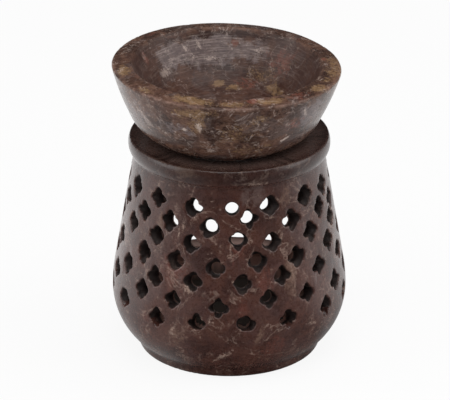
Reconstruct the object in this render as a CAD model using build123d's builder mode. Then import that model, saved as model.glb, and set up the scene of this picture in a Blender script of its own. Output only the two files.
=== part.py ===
from build123d import *
import os
from math import acos, atan2, cos, hypot, radians, sin, sqrt

os.makedirs("parts", exist_ok=True)

# Oil burner in carved soapstone. A turned body, pierced all round its wall, shelters a candle
# that goes in through an arch at the back. A loose bowl for water and oil rests in its mouth.
# Millimetres. The origin is the centre of the base, +Z is up and the front faces -Y.

# Body, outside
foot_radius = 30.5
foot_height = 3.0
foot_flare = 0.7
foot_edge = 0.5
belly_radius = 39.4
belly_height = 21.0
shoulder_turn_radius = 50.0
neck_radius = 32.25
neck_height = 66.6
groove_depth = 0.4
groove_height = 0.9
collar_radius = 33.6
collar_height = 72.2
lip_radius = 33.0
lip_height = 75.5
lip_land = 0.5

# Body, seat and candle chamber
wall = 5.7
mouth_radius = 21.5
mouth_depth = 6.0
seat_drop = 0.8
vault_drop = 2.6
chamber_foot_height = 15.5
floor_turn = 6.2
floor_height = 9.0

# Arch at the back, where the candle goes in
arch_width = 44.0
arch_sill_height = 19.7
arch_spring_height = 24.0
arch_corner = 2.5

# Pierced band: each hole is drilled, then cut out at the face to a four-pointed outline
top_row_drop = 4.5
bottom_row_rise = 2.3
row_hole_count = 16
pierce_slope = 15.0
pierce_taper = 4.0
point_reach_across = 3.4
point_reach_up = 3.6
notch_radius = 2.25
drill_radius = 2.2
bridge = 1.6

# Height of each row from the top one down, as a share of the band
row_height_shares = (1.0, 0.84, 0.685, 0.52, 0.36, 0.175, 0.0)

# The holes were laid out by eye, so those on the front are set one by one, row by row: the
# angle from the front in whole degrees, and how far the hole strays upward as a share of the
# mean distance between rows. The rest of each row is spaced evenly round the back.
front_stray_shares = (
    ((-67, 0), (-45, 0), (-21, 0), (2, 0), (24, 0), (49, 0), (68, 0)),
    ((-79, 0), (-55, 0), (-35, 0), (-11, 0), (11, 0.45), (37, 0), (61, 0), (77, 0)),
    ((-65, 0), (-43, 0), (-21, 0), (5, 0.3), (24, 0), (50, 0), (73, 0)),
    ((-79, -0.25), (-51, -0.15), (-29, 0), (-7, -0.2), (15, 0.15), (38, 0), (65, 0)),
    ((-64, -0.25), (-41, -0.2), (-19, 0), (7, 0), (28, 0.15), (53, 0), (77, 0)),
    ((-77, 0), (-49, 0), (-29, 0), (-5, -0.15), (20, 0.2), (42, 0), (66, -0.2), (85, 0)),
    ((-63, 0), (-38, -0.15), (-16, 0), (8, 0), (30, 0), (55, -0.15), (78, -0.25)),
)
plain_hole = (0, 2)

# Bowl
bowl_rise = 25.85
bowl_radius = 38.15
bowl_flare = 7.75
bowl_turn_radius = 15.0
bowl_base_radius = 15.0
bowl_lean = 1.7
bowl_nod = 0.45
rim_fall = 0.9
rim_edge = 0.4
rim_width = 6.5
well_depth = 17.0
well_batter = 10.65
well_turn_radius = 13.0
underside_radius = 60.0

# Fits and overruns
seat_gap = 0.15
overrun = 1.2


# Shape of the wall

seat_height = lip_height - seat_drop
foot_top_radius = foot_radius + foot_flare

# Above the belly a larger arc runs on into the straight flank, which ends at the neck
shoulder_centre = belly_radius - shoulder_turn_radius
neck_run = neck_radius - shoulder_centre
neck_rise = neck_height - belly_height
flank_lean = atan2(neck_rise, neck_run) - acos(shoulder_turn_radius / hypot(neck_run, neck_rise))
flank_start_height = belly_height + shoulder_turn_radius * sin(flank_lean)


def outer_radius(height):
    """Radius of the outer face at a height between the belly and the neck."""
    if height < flank_start_height:
        return shoulder_centre + sqrt(shoulder_turn_radius**2 - (height - belly_height) ** 2)
    return neck_radius + (neck_height - height) * sin(flank_lean) / cos(flank_lean)


flank_start = (outer_radius(flank_start_height), flank_start_height)

# The chamber follows the flank at one wall's thickness, drops straight, then turns in
vault_height = neck_height - vault_drop
vault_radius = outer_radius(vault_height) - wall / cos(flank_lean)
chamber_radius = flank_start[0] - wall / cos(flank_lean)
floor_radius = chamber_radius - floor_turn


# Layout of the pierced holes

top_row_height = neck_height - top_row_drop
bottom_row_height = belly_height + bottom_row_rise
row_pitch = (top_row_height - bottom_row_height) / (len(row_height_shares) - 1)
arch_radius = arch_width / 2


def row_places(front):
    """All the holes of a row, as angle and stray: those on the front, then the even rest."""
    first, last = front[0][0], front[-1][0]
    missing = row_hole_count - len(front)
    step = (360 - (last - first)) / (missing + 1)
    return list(front) + [(last + step * (i + 1), 0) for i in range(missing)]


def clears_arch(angle, height):
    """Whether a hole leaves a bridge of stone between itself and the arch."""
    turn = radians(angle)
    if cos(turn) > 0:
        return True
    across = outer_radius(height) * sin(turn)
    above_spring = max(height - arch_spring_height, 0)
    return hypot(across, above_spring) > arch_radius + point_reach_up + bridge


def pierce_plane(angle, height):
    """Plane of a hole on the outer face, with the drill's slope as the lean of its normal."""
    turn = radians(angle)
    slope = radians(pierce_slope)
    away = Vector(sin(turn), -cos(turn), 0)
    centre = away * outer_radius(height) + Vector(0, 0, height)
    return Plane(
        origin=centre,
        x_dir=(cos(turn), sin(turn), 0),
        z_dir=away * cos(slope) + Vector(0, 0, sin(slope)),
    )


carved_planes = []
plain_planes = []
for row, (height_share, front) in enumerate(zip(row_height_shares, front_stray_shares)):
    row_height = bottom_row_height + height_share * (top_row_height - bottom_row_height)
    for angle, stray_share in row_places(front):
        height = row_height + stray_share * row_pitch
        if not clears_arch(angle, height):
            continue
        if (row, angle) == plain_hole:
            plain_planes.append(pierce_plane(angle, height))
        else:
            carved_planes.append(pierce_plane(angle, height))


def pointed_outline():
    """Corners of a hole at the face: a point on each axis and a notch between each two."""
    corners = []
    for side in range(4):
        turn = radians(90 * side)
        reach = point_reach_across if side % 2 == 0 else point_reach_up
        between = turn + radians(45)
        corners.append((reach * cos(turn), reach * sin(turn)))
        corners.append((notch_radius * cos(between), notch_radius * sin(between)))
    return corners


# Cutter for a carved hole, four-pointed and narrowing inwards
with BuildPart() as carved_cutter:
    with BuildSketch(Plane.XY.offset(overrun)):
        Polygon(*pointed_outline(), align=None)
    extrude(amount=-(wall + 2 * overrun), taper=pierce_taper)

# Cutter for the one hole that was drilled and never carved
with BuildPart() as plain_cutter:
    with BuildSketch(Plane.XY.offset(overrun)):
        Circle(drill_radius)
    extrude(amount=-(wall + 2 * overrun))


# Body: foot, belly, flank, groove, collar, dished seat, mouth, vault and chamber in one profile

with BuildPart() as body:
    with BuildSketch(Plane.XZ):
        with BuildLine():
            Polyline(
                (0, 0),
                (foot_radius - foot_edge, 0),
                (foot_radius, foot_edge),
                (foot_top_radius, foot_height),
            )
            TangentArc((belly_radius, belly_height), (foot_top_radius, foot_height), tangent=(0, -1))
            TangentArc((belly_radius, belly_height), flank_start, tangent=(0, 1))
            Polyline(
                flank_start,
                (neck_radius, neck_height),
                (neck_radius - groove_depth, neck_height + groove_height / 2),
                (neck_radius, neck_height + groove_height),
            )
            ThreePointArc(
                (neck_radius, neck_height + groove_height),
                (collar_radius, collar_height),
                (lip_radius, lip_height),
            )
            Polyline(
                (lip_radius, lip_height),
                (lip_radius - lip_land, lip_height),
                (mouth_radius, seat_height),
                (mouth_radius, seat_height - mouth_depth),
                (vault_radius, vault_height),
                (chamber_radius, flank_start_height),
                (chamber_radius, chamber_foot_height),
                (floor_radius, floor_height),
                (0, floor_height),
                (0, 0),
            )
        make_face()
    revolve(axis=Axis.Z)
    with BuildSketch(Plane.back) as arch:
        with BuildLine():
            Polyline(
                (-arch_radius, arch_spring_height),
                (-arch_radius, arch_sill_height),
                (arch_radius, arch_sill_height),
                (arch_radius, arch_spring_height),
            )
            ThreePointArc(
                (arch_radius, arch_spring_height),
                (0, arch_spring_height + arch_radius),
                (-arch_radius, arch_spring_height),
            )
        make_face()
        fillet(arch.vertices().group_by(Axis.Y)[0], arch_corner)
    extrude(amount=belly_radius + overrun, mode=Mode.SUBTRACT)
    with Locations(*carved_planes):
        add(carved_cutter.part, mode=Mode.SUBTRACT)
    with Locations(*plain_planes):
        add(plain_cutter.part, mode=Mode.SUBTRACT)

body.part.label = "pierced_body"
export_step(body.part, "parts/pierced_body.step")


# Bowl: its underside is part of a ball, so it seats all round the mouth even when it tilts.
# Its profile is drawn from that ball's centre, and the whole bowl tilts about the same point:
# it leans to the right and nods to the front.

ball_height = seat_height + sqrt(underside_radius**2 - mouth_radius**2)
ball_radius = underside_radius - seat_gap
rim_level = seat_height + bowl_rise - ball_height
well_radius = bowl_radius - rim_width


def tilted(direction):
    """Direction on the upright bowl, as it points once the bowl has leaned and nodded."""
    return Vector(*direction).rotate(Axis.Y, bowl_lean).rotate(Axis.X, bowl_nod)


bowl_plane = Plane(origin=(0, 0, ball_height), x_dir=tilted((1, 0, 0)), z_dir=tilted((0, -1, 0)))
bowl_axis = Axis((0, 0, ball_height), tilted((0, 0, 1)))


def on_ball(radius):
    """Point of the underside at a distance from the bowl's axis."""
    return (radius, -sqrt(ball_radius**2 - radius**2))


turn_corner = on_ball(bowl_radius - bowl_flare)
rim_corner = (bowl_radius, rim_level - rim_fall)
well_foot = (well_radius - well_batter, rim_level - well_depth)

with BuildPart() as bowl:
    with BuildSketch(bowl_plane) as bowl_profile:
        with BuildLine():
            Line((0, on_ball(bowl_base_radius)[1]), on_ball(bowl_base_radius))
            ThreePointArc(
                on_ball(bowl_base_radius), on_ball((bowl_base_radius + turn_corner[0]) / 2), turn_corner
            )
            Polyline(
                turn_corner,
                rim_corner,
                (well_radius, rim_level),
                well_foot,
                (0, rim_level - well_depth),
                (0, on_ball(bowl_base_radius)[1]),
            )
        make_face()
        fillet(bowl_profile.vertices().sort_by_distance(turn_corner)[0], bowl_turn_radius)
        fillet(bowl_profile.vertices().sort_by_distance(well_foot)[0], well_turn_radius)
        chamfer(bowl_profile.vertices().sort_by_distance(rim_corner)[0], rim_edge)
    revolve(axis=bowl_axis)

bowl.part.label = "bowl"
export_step(bowl.part, "parts/bowl.step")

print("pierced holes", len(carved_planes) + len(plain_planes))
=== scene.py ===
"""Oil burner in carved soapstone: its looks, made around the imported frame.

Named sizes are in millimetres, the studio's and all meshes in metres. +Z is up and the front
faces -Y. An angle on the burner is in degrees round its axis from the front, and grows to the
right.
"""

import logging
import random
from collections.abc import Callable, Mapping, Sequence
from dataclasses import dataclass
from enum import Enum
from functools import partial, reduce
from math import acos, atan2, copysign, cos, degrees, exp, hypot, pi, radians, sin, sqrt, tan

import bmesh
import bpy
from bmesh.types import BMesh, BMVert
from bpy.types import Material, Mesh, Node, NodeSocket, NodeTree, Object, ShaderNodeTree, World
from mathutils import Matrix, Vector, noise
from mathutils.bvhtree import BVHTree
from mathutils.kdtree import KDTree


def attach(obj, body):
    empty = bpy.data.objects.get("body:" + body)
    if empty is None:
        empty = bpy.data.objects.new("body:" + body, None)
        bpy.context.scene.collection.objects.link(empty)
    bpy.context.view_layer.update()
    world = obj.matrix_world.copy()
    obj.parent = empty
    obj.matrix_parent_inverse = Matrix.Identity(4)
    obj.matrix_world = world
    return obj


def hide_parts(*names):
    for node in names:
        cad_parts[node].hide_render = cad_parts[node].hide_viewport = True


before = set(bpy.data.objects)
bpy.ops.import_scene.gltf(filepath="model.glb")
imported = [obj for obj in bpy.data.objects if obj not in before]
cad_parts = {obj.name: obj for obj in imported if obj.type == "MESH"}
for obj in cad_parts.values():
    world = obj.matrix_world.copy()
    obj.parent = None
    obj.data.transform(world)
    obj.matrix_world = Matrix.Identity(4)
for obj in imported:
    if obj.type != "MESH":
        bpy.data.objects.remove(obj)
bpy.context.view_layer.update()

log = logging.getLogger("oil_burner")

MM = 0.001
FULL_TURN = 2 * pi

Value = float | tuple[float, ...] | NodeSocket
Rgba = tuple[float, float, float, float]
Sockets = Mapping[str, NodeSocket]
Builder = Callable[["Tree", Sockets], NodeSocket]


# Small sums


def fade(value: float, start: float, end: float) -> float:
    """Rise smoothly from 0 at start to 1 at end.

    Args:
        value: Where on the slope to read.
        start: Value at which the rise begins.
        end: Value at which it is complete; it may be the smaller of the two.

    Returns:
        The share, from 0 to 1.
    """
    share = min(max((value - start) / (end - start), 0.0), 1.0)
    return share * share * (3 - 2 * share)


def angle_between(first: float, second: float) -> float:
    """Turn from the second angle to the first by the short way, in degrees, from -180 to 180."""
    return (first - second + 180) % 360 - 180


def round_the_axis(angle: float, radius: float, height: float) -> Vector:
    """Point at an angle from the front, a radius and a height."""
    return Vector((radius * sin(radians(angle)), -radius * cos(radians(angle)), height))


# Curve between the colours that a screen shows and linear light

SCREEN_KNEE = 0.04045
SCREEN_SLOPE = 12.92
SCREEN_OFFSET = 0.055
SCREEN_POWER = 2.4


@dataclass(frozen=True)
class Colour:
    """A colour as it reads on a screen, each part from 0 to 255."""

    red: int
    green: int
    blue: int

    def linear(self) -> Rgba:
        """The colour in the linear values that Blender's sockets take."""
        parts = []
        for part in (self.red, self.green, self.blue):
            share = part / 255
            if share <= SCREEN_KNEE:
                parts.append(share / SCREEN_SLOPE)
            else:
                parts.append(((share + SCREEN_OFFSET) / (1 + SCREEN_OFFSET)) ** SCREEN_POWER)
        return (parts[0], parts[1], parts[2], 1.0)


# Marks in the stone


class Tint(Enum):
    """A kind of mark in the stone; each is a painted attribute that the stone's finish reads."""

    ASH = "ash"
    OCHRE = "ochre"
    RUST = "rust"
    PALE = "pale"
    DARK = "dark"


# How a mark's edge strays, where it fades, and how far out it can still show, as shares of its size
MARK_STRAY = 0.45
MARK_STRAY_WAVE = 0.35
MARK_ENDS = 1.35
MARK_IS_FULL = 0.25
MARK_REACH = 2.0


@dataclass(frozen=True)
class Mark:
    """A mark in the stone, an uneven oval whose edge the finish breaks up.

    Attributes:
        tint: What kind of mark it is.
        angle: Angle of its centre from the front, in degrees.
        radius: Distance of its centre from the axis.
        height: Height of its centre.
        across: Half its width round the axis.
        up: Half its height, or half its width along the radius where the surface lies flat.
        strength: How strongly it shows, from 0 to 1.
        lean: Turn of its long side from upright towards the right, in degrees.
    """

    tint: Tint
    angle: float
    radius: float
    height: float
    across: float
    up: float
    strength: float = 1.0
    lean: float = 0.0

    def centre(self) -> Vector:
        """Point at the middle of the mark."""
        return round_the_axis(self.angle, self.radius, self.height)

    def share(self, place: Vector) -> float:
        """How strongly the mark shows at a place.

        Args:
            place: Point of the piece, in millimetres.

        Returns:
            The share, from 0 outside the mark to its strength at its middle.
        """
        radius = hypot(place.x, place.y)
        angle = degrees(atan2(place.x, -place.y))
        along = radians(angle_between(angle, self.angle)) * self.radius
        outward, rise = radius - self.radius, place.z - self.height
        rise = copysign(hypot(outward, rise), rise + outward)
        turn = radians(self.lean)
        across = along * cos(turn) - rise * sin(turn)
        up = along * sin(turn) + rise * cos(turn)
        reach = hypot(across / self.across, up / self.up)
        stray = noise.noise(place * MARK_STRAY_WAVE + Vector((self.angle, 0, 0))) * MARK_STRAY
        return self.strength * fade(reach + stray, MARK_ENDS, MARK_IS_FULL)


def paint(mesh: Mesh, marks: Sequence[Mark]) -> None:
    """Write the marks to the mesh, one attribute for each tint.

    Args:
        mesh: Finished mesh, in metres.
        marks: The marks that it carries.
    """
    places = KDTree(len(mesh.vertices))
    for vertex in mesh.vertices:
        places.insert(vertex.co / MM, vertex.index)
    places.balance()
    for tint in Tint:
        shares = [0.0] * len(mesh.vertices)
        for mark in marks:
            if mark.tint is not tint:
                continue
            reach = MARK_REACH * max(mark.across, mark.up)
            for place, index, _ in places.find_range(mark.centre(), reach):
                shares[index] = max(shares[index], mark.share(place))
        write_attribute(mesh, tint.value, shares)


def write_attribute(mesh: Mesh, name: str, shares: Sequence[float]) -> None:
    """Give each vertex of a mesh its value of a named attribute."""
    mesh.attributes.new(name, "FLOAT", "POINT").data.foreach_set("value", shares)


# Turning


class Outline:
    """Outline of a turned piece, drawn in the XZ plane and then spun round the axis."""

    CORNER_STEPS = 5
    MERGE_WITHIN = 0.001

    def __init__(self, radius: float, height: float) -> None:
        """Start the outline at a radius and a height."""
        self.mesh: BMesh = bmesh.new()
        self.last: BMVert = self.mesh.verts.new((radius, 0, height))
        self.soft_corners: list[tuple[BMVert, float]] = []

    def line_to(self, radius: float, height: float, soft: float = 0.0) -> None:
        """Draw a straight run.

        Args:
            radius: Radius of its end.
            height: Height of its end.
            soft: How far from the corner at its end the rounding starts.
        """
        end = self.mesh.verts.new((radius, 0, height))
        self.mesh.edges.new((self.last, end))
        if soft:
            self.soft_corners.append((end, soft))
        self.last = end

    def arc_to(self, centre: tuple[float, float], radius: float, height: float, steps: int) -> None:
        """Draw an arc by spinning the last point round a centre.

        Args:
            centre: Radius and height of the arc's centre.
            radius: Radius of its end.
            height: Height of its end.
            steps: How many straight runs make it up.
        """
        start = atan2(self.last.co.z - centre[1], self.last.co.x - centre[0])
        end = atan2(height - centre[1], radius - centre[0])
        spun = bmesh.ops.spin(
            self.mesh,
            geom=[self.last],
            cent=(centre[0], 0, centre[1]),
            axis=(0, -1, 0),
            angle=end - start,
            steps=steps,
        )
        self.last = spun["geom_last"][0]

    def turned(self, steps: int, longest_run: float) -> BMesh:
        """Round the soft corners, divide the long runs and spin the outline into a solid.

        Args:
            steps: Faces round the axis.
            longest_run: Longest edge that the outline keeps.

        Returns:
            The closed solid, in millimetres.
        """
        for corner, soft in self.soft_corners:
            bmesh.ops.bevel(
                self.mesh,
                geom=[corner],
                offset=soft,
                offset_type="OFFSET",
                segments=self.CORNER_STEPS,
                profile=0.5,
                affect="VERTICES",
                material=-1,
            )
        for edge in list(self.mesh.edges):
            cuts = int(edge.calc_length() / longest_run)
            if cuts:
                bmesh.ops.subdivide_edges(self.mesh, edges=[edge], cuts=cuts)
        bmesh.ops.spin(
            self.mesh,
            geom=self.mesh.verts[:] + self.mesh.edges[:],
            cent=(0, 0, 0),
            axis=(0, 0, 1),
            angle=FULL_TURN,
            steps=steps,
            use_merge=True,
        )
        bmesh.ops.remove_doubles(self.mesh, verts=self.mesh.verts, dist=self.MERGE_WITHIN)
        bmesh.ops.recalc_face_normals(self.mesh, faces=self.mesh.faces)
        return self.mesh


# Meshes and objects


def new_object(name: str, solid: BMesh) -> Object:
    """Make an object in the scene from a solid and free the solid.

    Args:
        name: Name of the object and its mesh.
        solid: The solid, in metres.

    Returns:
        The object, at the origin.
    """
    mesh = bpy.data.meshes.new(name)
    solid.to_mesh(mesh)
    solid.free()
    made = bpy.data.objects.new(name, mesh)
    bpy.context.scene.collection.objects.link(made)
    return made


def finished_mesh(source: Object) -> BMesh:
    """Take an object's mesh with its modifiers applied, and remove the object.

    Args:
        source: The object.

    Returns:
        Its finished solid, in metres.
    """
    bpy.context.view_layer.update()
    evaluated = source.evaluated_get(bpy.context.evaluated_depsgraph_get())
    solid = bmesh.new()
    solid.from_mesh(evaluated.to_mesh())
    evaluated.to_mesh_clear()
    bpy.data.objects.remove(source)
    return solid


def add_modifier(target: Object, kind: str, **settings: object) -> None:
    """Give an object a modifier.

    Args:
        target: The object.
        kind: The modifier's type.
        settings: Its settings, by name.
    """
    made = target.modifiers.new(kind.lower(), kind)
    for name, setting in settings.items():
        setattr(made, name, setting)


def smooth_shaded(solid: BMesh) -> None:
    """Shade all the faces of a solid smoothly."""
    for face in solid.faces:
        face.smooth = True


def scaled(solid: BMesh, factor: float) -> BMesh:
    """Scale a solid about the origin and return it."""
    bmesh.ops.scale(solid, vec=(factor, factor, factor), verts=solid.verts)
    return solid


SHORTEST_EDGE_SQUARED = 1e-6


def roundness(solid: BMesh, sharpest: float, spread_times: int) -> list[float]:
    """Tell how far each vertex stands out, as on an edge that hands and cloths wear; the finishes also
    paint a highlight there.

    Args:
        solid: Solid in millimetres, with up-to-date normals.
        sharpest: Curvature, in parts of a millimetre, that counts as fully worn.
        spread_times: How often the value is averaged with the neighbours' values.

    Returns:
        A share from 0 to 1 for each vertex.
    """
    solid.verts.index_update()
    shares = []
    for vertex in solid.verts:
        bend = 0.0
        for edge in vertex.link_edges:
            way = edge.other_vert(vertex).co - vertex.co
            bend -= 2 * vertex.normal.dot(way) / max(way.length_squared, SHORTEST_EDGE_SQUARED)
        shares.append(min(max(bend / len(vertex.link_edges) / sharpest, 0.0), 1.0))
    for _ in range(spread_times):
        shares = [
            (shares[v.index] + sum(shares[e.other_vert(v).index] for e in v.link_edges))
            / (1 + len(v.link_edges))
            for v in solid.verts
        ]
    return shares


# Pierced body


@dataclass(frozen=True)
class WallShape:
    """Outline of the body's wall, with the frame's sizes but for the groove and the collar's foot."""

    foot_radius: float = 30.5
    foot_height: float = 3.0
    foot_flare: float = 0.7
    foot_soft: float = 0.7
    belly_radius: float = 39.4
    belly_height: float = 21.0
    shoulder_turn_radius: float = 50.0
    neck_radius: float = 32.25
    neck_height: float = 66.6
    groove_foot_height: float = 68.8
    groove_depth: float = 0.16
    groove_width: float = 0.8
    collar_foot_radius: float = 32.8
    collar_foot_height: float = 69.9
    collar_foot_soft: float = 0.8
    collar_radius: float = 33.6
    collar_height: float = 72.2
    lip_radius: float = 33.0
    lip_height: float = 75.5
    lip_land: float = 0.5
    lip_soft: float = 0.28
    wall: float = 5.7
    mouth_radius: float = 21.5
    mouth_depth: float = 6.0
    seat_drop: float = 0.8
    vault_drop: float = 2.6
    chamber_foot_height: float = 15.5
    floor_turn: float = 6.2
    floor_height: float = 9.0
    belly_steps: int = 24
    shoulder_steps: int = 8
    collar_steps: int = 16

    def shoulder_centre(self) -> float:
        """Radius of the centre of the arc above the belly."""
        return self.belly_radius - self.shoulder_turn_radius

    def flank_lean(self) -> float:
        """Lean of the straight flank from upright, in radians."""
        run = self.neck_radius - self.shoulder_centre()
        rise = self.neck_height - self.belly_height
        return atan2(rise, run) - acos(self.shoulder_turn_radius / hypot(run, rise))

    def flank_start_height(self) -> float:
        """Height at which the arc above the belly ends and the flank begins."""
        return self.belly_height + self.shoulder_turn_radius * sin(self.flank_lean())

    def outer_radius(self, height: float) -> float:
        """Radius of the outer face.

        Args:
            height: A height between the belly and the neck.

        Returns:
            The radius.
        """
        if height < self.flank_start_height():
            rise = height - self.belly_height
            return self.shoulder_centre() + sqrt(self.shoulder_turn_radius**2 - rise**2)
        return self.neck_radius + (self.neck_height - height) * tan(self.flank_lean())

    def collar_centre(self) -> tuple[float, float]:
        """Centre of the arc through the collar's foot, its bulge and the lip.

        Returns:
            Its radius and its height.
        """
        a = Vector((self.collar_foot_radius, self.collar_foot_height))
        b = Vector((self.collar_radius, self.collar_height))
        c = Vector((self.lip_radius, self.lip_height))
        ab, ac = b - a, c - a
        size = 2 * ab.cross(ac)
        x = (ac.y * ab.length_squared - ab.y * ac.length_squared) / size
        z = (ab.x * ac.length_squared - ac.x * ab.length_squared) / size
        return (a.x + x, a.y + z)

    def solid(self, steps: int, longest_run: float) -> BMesh:
        """Turn the body before it is pierced.

        Args:
            steps: Faces round the axis.
            longest_run: Longest edge of the outline.

        Returns:
            The closed solid, in millimetres.
        """
        outline = Outline(0, 0)
        self.draw_outside(outline)
        self.draw_inside(outline)
        return outline.turned(steps, longest_run)

    def draw_outside(self, outline: Outline) -> None:
        """Draw the outside from the foot up to the lip's outer edge.

        Args:
            outline: The outline so far.
        """
        foot_top = self.foot_radius + self.foot_flare
        run = self.belly_radius - foot_top
        rise = self.belly_height - self.foot_height
        belly_turn = (run**2 + rise**2) / (2 * run)
        flank_start = self.flank_start_height()
        groove_radius = self.outer_radius(self.groove_foot_height)
        groove_height = self.groove_foot_height + self.groove_width / 2
        outline.line_to(self.foot_radius, 0, soft=self.foot_soft)
        outline.line_to(foot_top, self.foot_height)
        outline.arc_to(
            (self.belly_radius - belly_turn, self.belly_height),
            self.belly_radius,
            self.belly_height,
            steps=self.belly_steps,
        )
        outline.arc_to(
            (self.shoulder_centre(), self.belly_height),
            self.outer_radius(flank_start),
            flank_start,
            steps=self.shoulder_steps,
        )
        outline.line_to(groove_radius, self.groove_foot_height, soft=self.groove_depth)
        outline.line_to(groove_radius - self.groove_depth, groove_height)
        outline.line_to(self.collar_foot_radius, self.collar_foot_height, soft=self.collar_foot_soft)
        outline.arc_to(self.collar_centre(), self.lip_radius, self.lip_height, self.collar_steps)
        outline.soft_corners.append((outline.last, self.lip_soft))

    def draw_inside(self, outline: Outline) -> None:
        """Draw on from the lip over the seat and down the mouth, the vault and the chamber.

        Args:
            outline: The outline so far.
        """
        flank_start = self.flank_start_height()
        vault_height = self.neck_height - self.vault_drop
        inward = self.wall / cos(self.flank_lean())
        chamber_radius = self.outer_radius(flank_start) - inward
        seat_height = self.lip_height - self.seat_drop
        outline.line_to(self.lip_radius - self.lip_land, self.lip_height)
        outline.line_to(self.mouth_radius, seat_height, soft=self.lip_soft)
        outline.line_to(self.mouth_radius, seat_height - self.mouth_depth)
        outline.line_to(self.outer_radius(vault_height) - inward, vault_height)
        outline.line_to(chamber_radius, flank_start)
        outline.line_to(chamber_radius, self.chamber_foot_height)
        outline.line_to(chamber_radius - self.floor_turn, self.floor_height)
        outline.line_to(0, self.floor_height)


@dataclass(frozen=True)
class HoleShape:
    """How a hole is drilled through the wall and then filed to four points at the face."""

    reach_across: float = 3.45
    reach_up: float = 3.65
    drill_radius: float = 2.2
    slope: float = 15.0
    filed_depth: float = 1.0
    drilled_depth: float = 2.9
    narrowing: float = 0.05
    notch_width: float = 12.0
    side_notch: float = 0.22
    foot_notch: float = 0.32
    unevenness: float = 0.24
    unevenness_wave: float = 1.4
    least_share: float = 0.8
    overrun: float = 1.2
    corners: int = 56
    rings: int = 9


@dataclass(frozen=True)
class Hole:
    """One hole of the pierced band, with the small strays of a hand-made one.

    Attributes:
        angle: Angle from the front, in degrees.
        height: Height of its centre on the outer face.
        filed: Whether it was filed to four points, or left as drilled.
        lean: Turn of its outline round its own axis, in degrees.
        stretch: Its width as a share of the usual one.
        rise: Its height as a share of the usual one.
        fullness: How far its sides bulge between the points; 1 leaves them straight.
        flat_foot: How much of its lowest point was left uncut, as a share.
        notches: Depth of the notch on each of its four sides, from the upper right one round
            to the left, as a share of the radius.
        drill_stray: How far the drill came out beside the middle, across and up.
    """

    angle: float
    height: float
    filed: bool
    lean: float
    stretch: float
    rise: float
    fullness: float
    flat_foot: float
    notches: tuple[float, float, float, float]
    drill_stray: tuple[float, float]

    def face_radius(self, turn: float, shape: HoleShape) -> float:
        """Radius of the filed outline in a direction.

        Args:
            turn: Direction from the hole's own X axis, in degrees.
            shape: The usual hole.

        Returns:
            The radius, in millimetres.
        """
        across = (abs(cos(radians(turn))) / (shape.reach_across * self.stretch)) ** self.fullness
        up = (abs(sin(radians(turn))) / (shape.reach_up * self.rise)) ** self.fullness
        radius = (across + up) ** (-1 / self.fullness)
        for side, depth in enumerate(self.notches):
            away = angle_between(turn, 45 + 90 * side + self.lean)
            radius *= 1 - depth * exp(-((away / shape.notch_width) ** 2))
        way = Vector((cos(radians(turn)), sin(radians(turn)), self.angle))
        radius *= 1 + shape.unevenness * noise.noise(way * shape.unevenness_wave)
        if self.flat_foot and sin(radians(turn)) < 0:
            floor = shape.reach_up * self.rise * (1 - self.flat_foot)
            radius = min(radius, floor / abs(sin(radians(turn))))
        return max(radius, shape.drill_radius * shape.least_share)

    def add_cutter(self, cutters: BMesh, shape: HoleShape, wall: WallShape) -> None:
        """Add this hole's cutter to the others.

        Args:
            cutters: Mesh that all the cutters share, in millimetres.
            shape: The usual hole.
            wall: The wall that it goes through.
        """
        depth = wall.wall + 2 * shape.overrun
        before = len(cutters.verts)
        bmesh.ops.create_cone(
            cutters,
            cap_ends=True,
            segments=shape.corners,
            radius1=1,
            radius2=1,
            depth=depth,
        )
        sides = {edge for vertex in cutters.verts[before:] for edge in vertex.link_edges}
        upright = [edge for edge in sides if abs(edge.verts[0].co.z - edge.verts[1].co.z) > depth / 2]
        bmesh.ops.subdivide_edges(cutters, edges=upright, cuts=shape.rings)
        vertices = cutters.verts[before:]
        for vertex in vertices:
            below_face = depth / 2 - vertex.co.z - shape.overrun
            turn = degrees(atan2(vertex.co.y, vertex.co.x)) - self.lean
            drilled = fade(below_face, shape.filed_depth, shape.drilled_depth) if self.filed else 1.0
            kept = 1 - shape.narrowing * max(below_face, 0) / shape.filed_depth
            filed = self.face_radius(turn, shape) * kept
            radius = filed + (shape.drill_radius - filed) * drilled
            way = Vector((cos(radians(turn + self.lean)), sin(radians(turn + self.lean)), 0))
            stray = Vector((*self.drill_stray, 0)) * drilled
            vertex.co = way * radius + stray + Vector((0, 0, -below_face))
        bmesh.ops.transform(cutters, matrix=self.place(shape, wall), verts=vertices)

    def place(self, shape: HoleShape, wall: WallShape) -> Matrix:
        """Place of the hole: its centre on the outer face, with its axis sloping up and out.

        Args:
            shape: The usual hole.
            wall: The wall that it goes through.

        Returns:
            The matrix that takes a cutter from the origin to its place.
        """
        turn, slope = radians(self.angle), radians(shape.slope)
        away = Vector((sin(turn), -cos(turn), 0))
        outward = away * cos(slope) + Vector((0, 0, sin(slope)))
        across = Vector((cos(turn), sin(turn), 0))
        rotation = Matrix((across, outward.cross(across), outward)).transposed().to_4x4()
        centre = away * wall.outer_radius(self.height) + Vector((0, 0, self.height))
        return Matrix.Translation(centre) @ rotation


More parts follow.
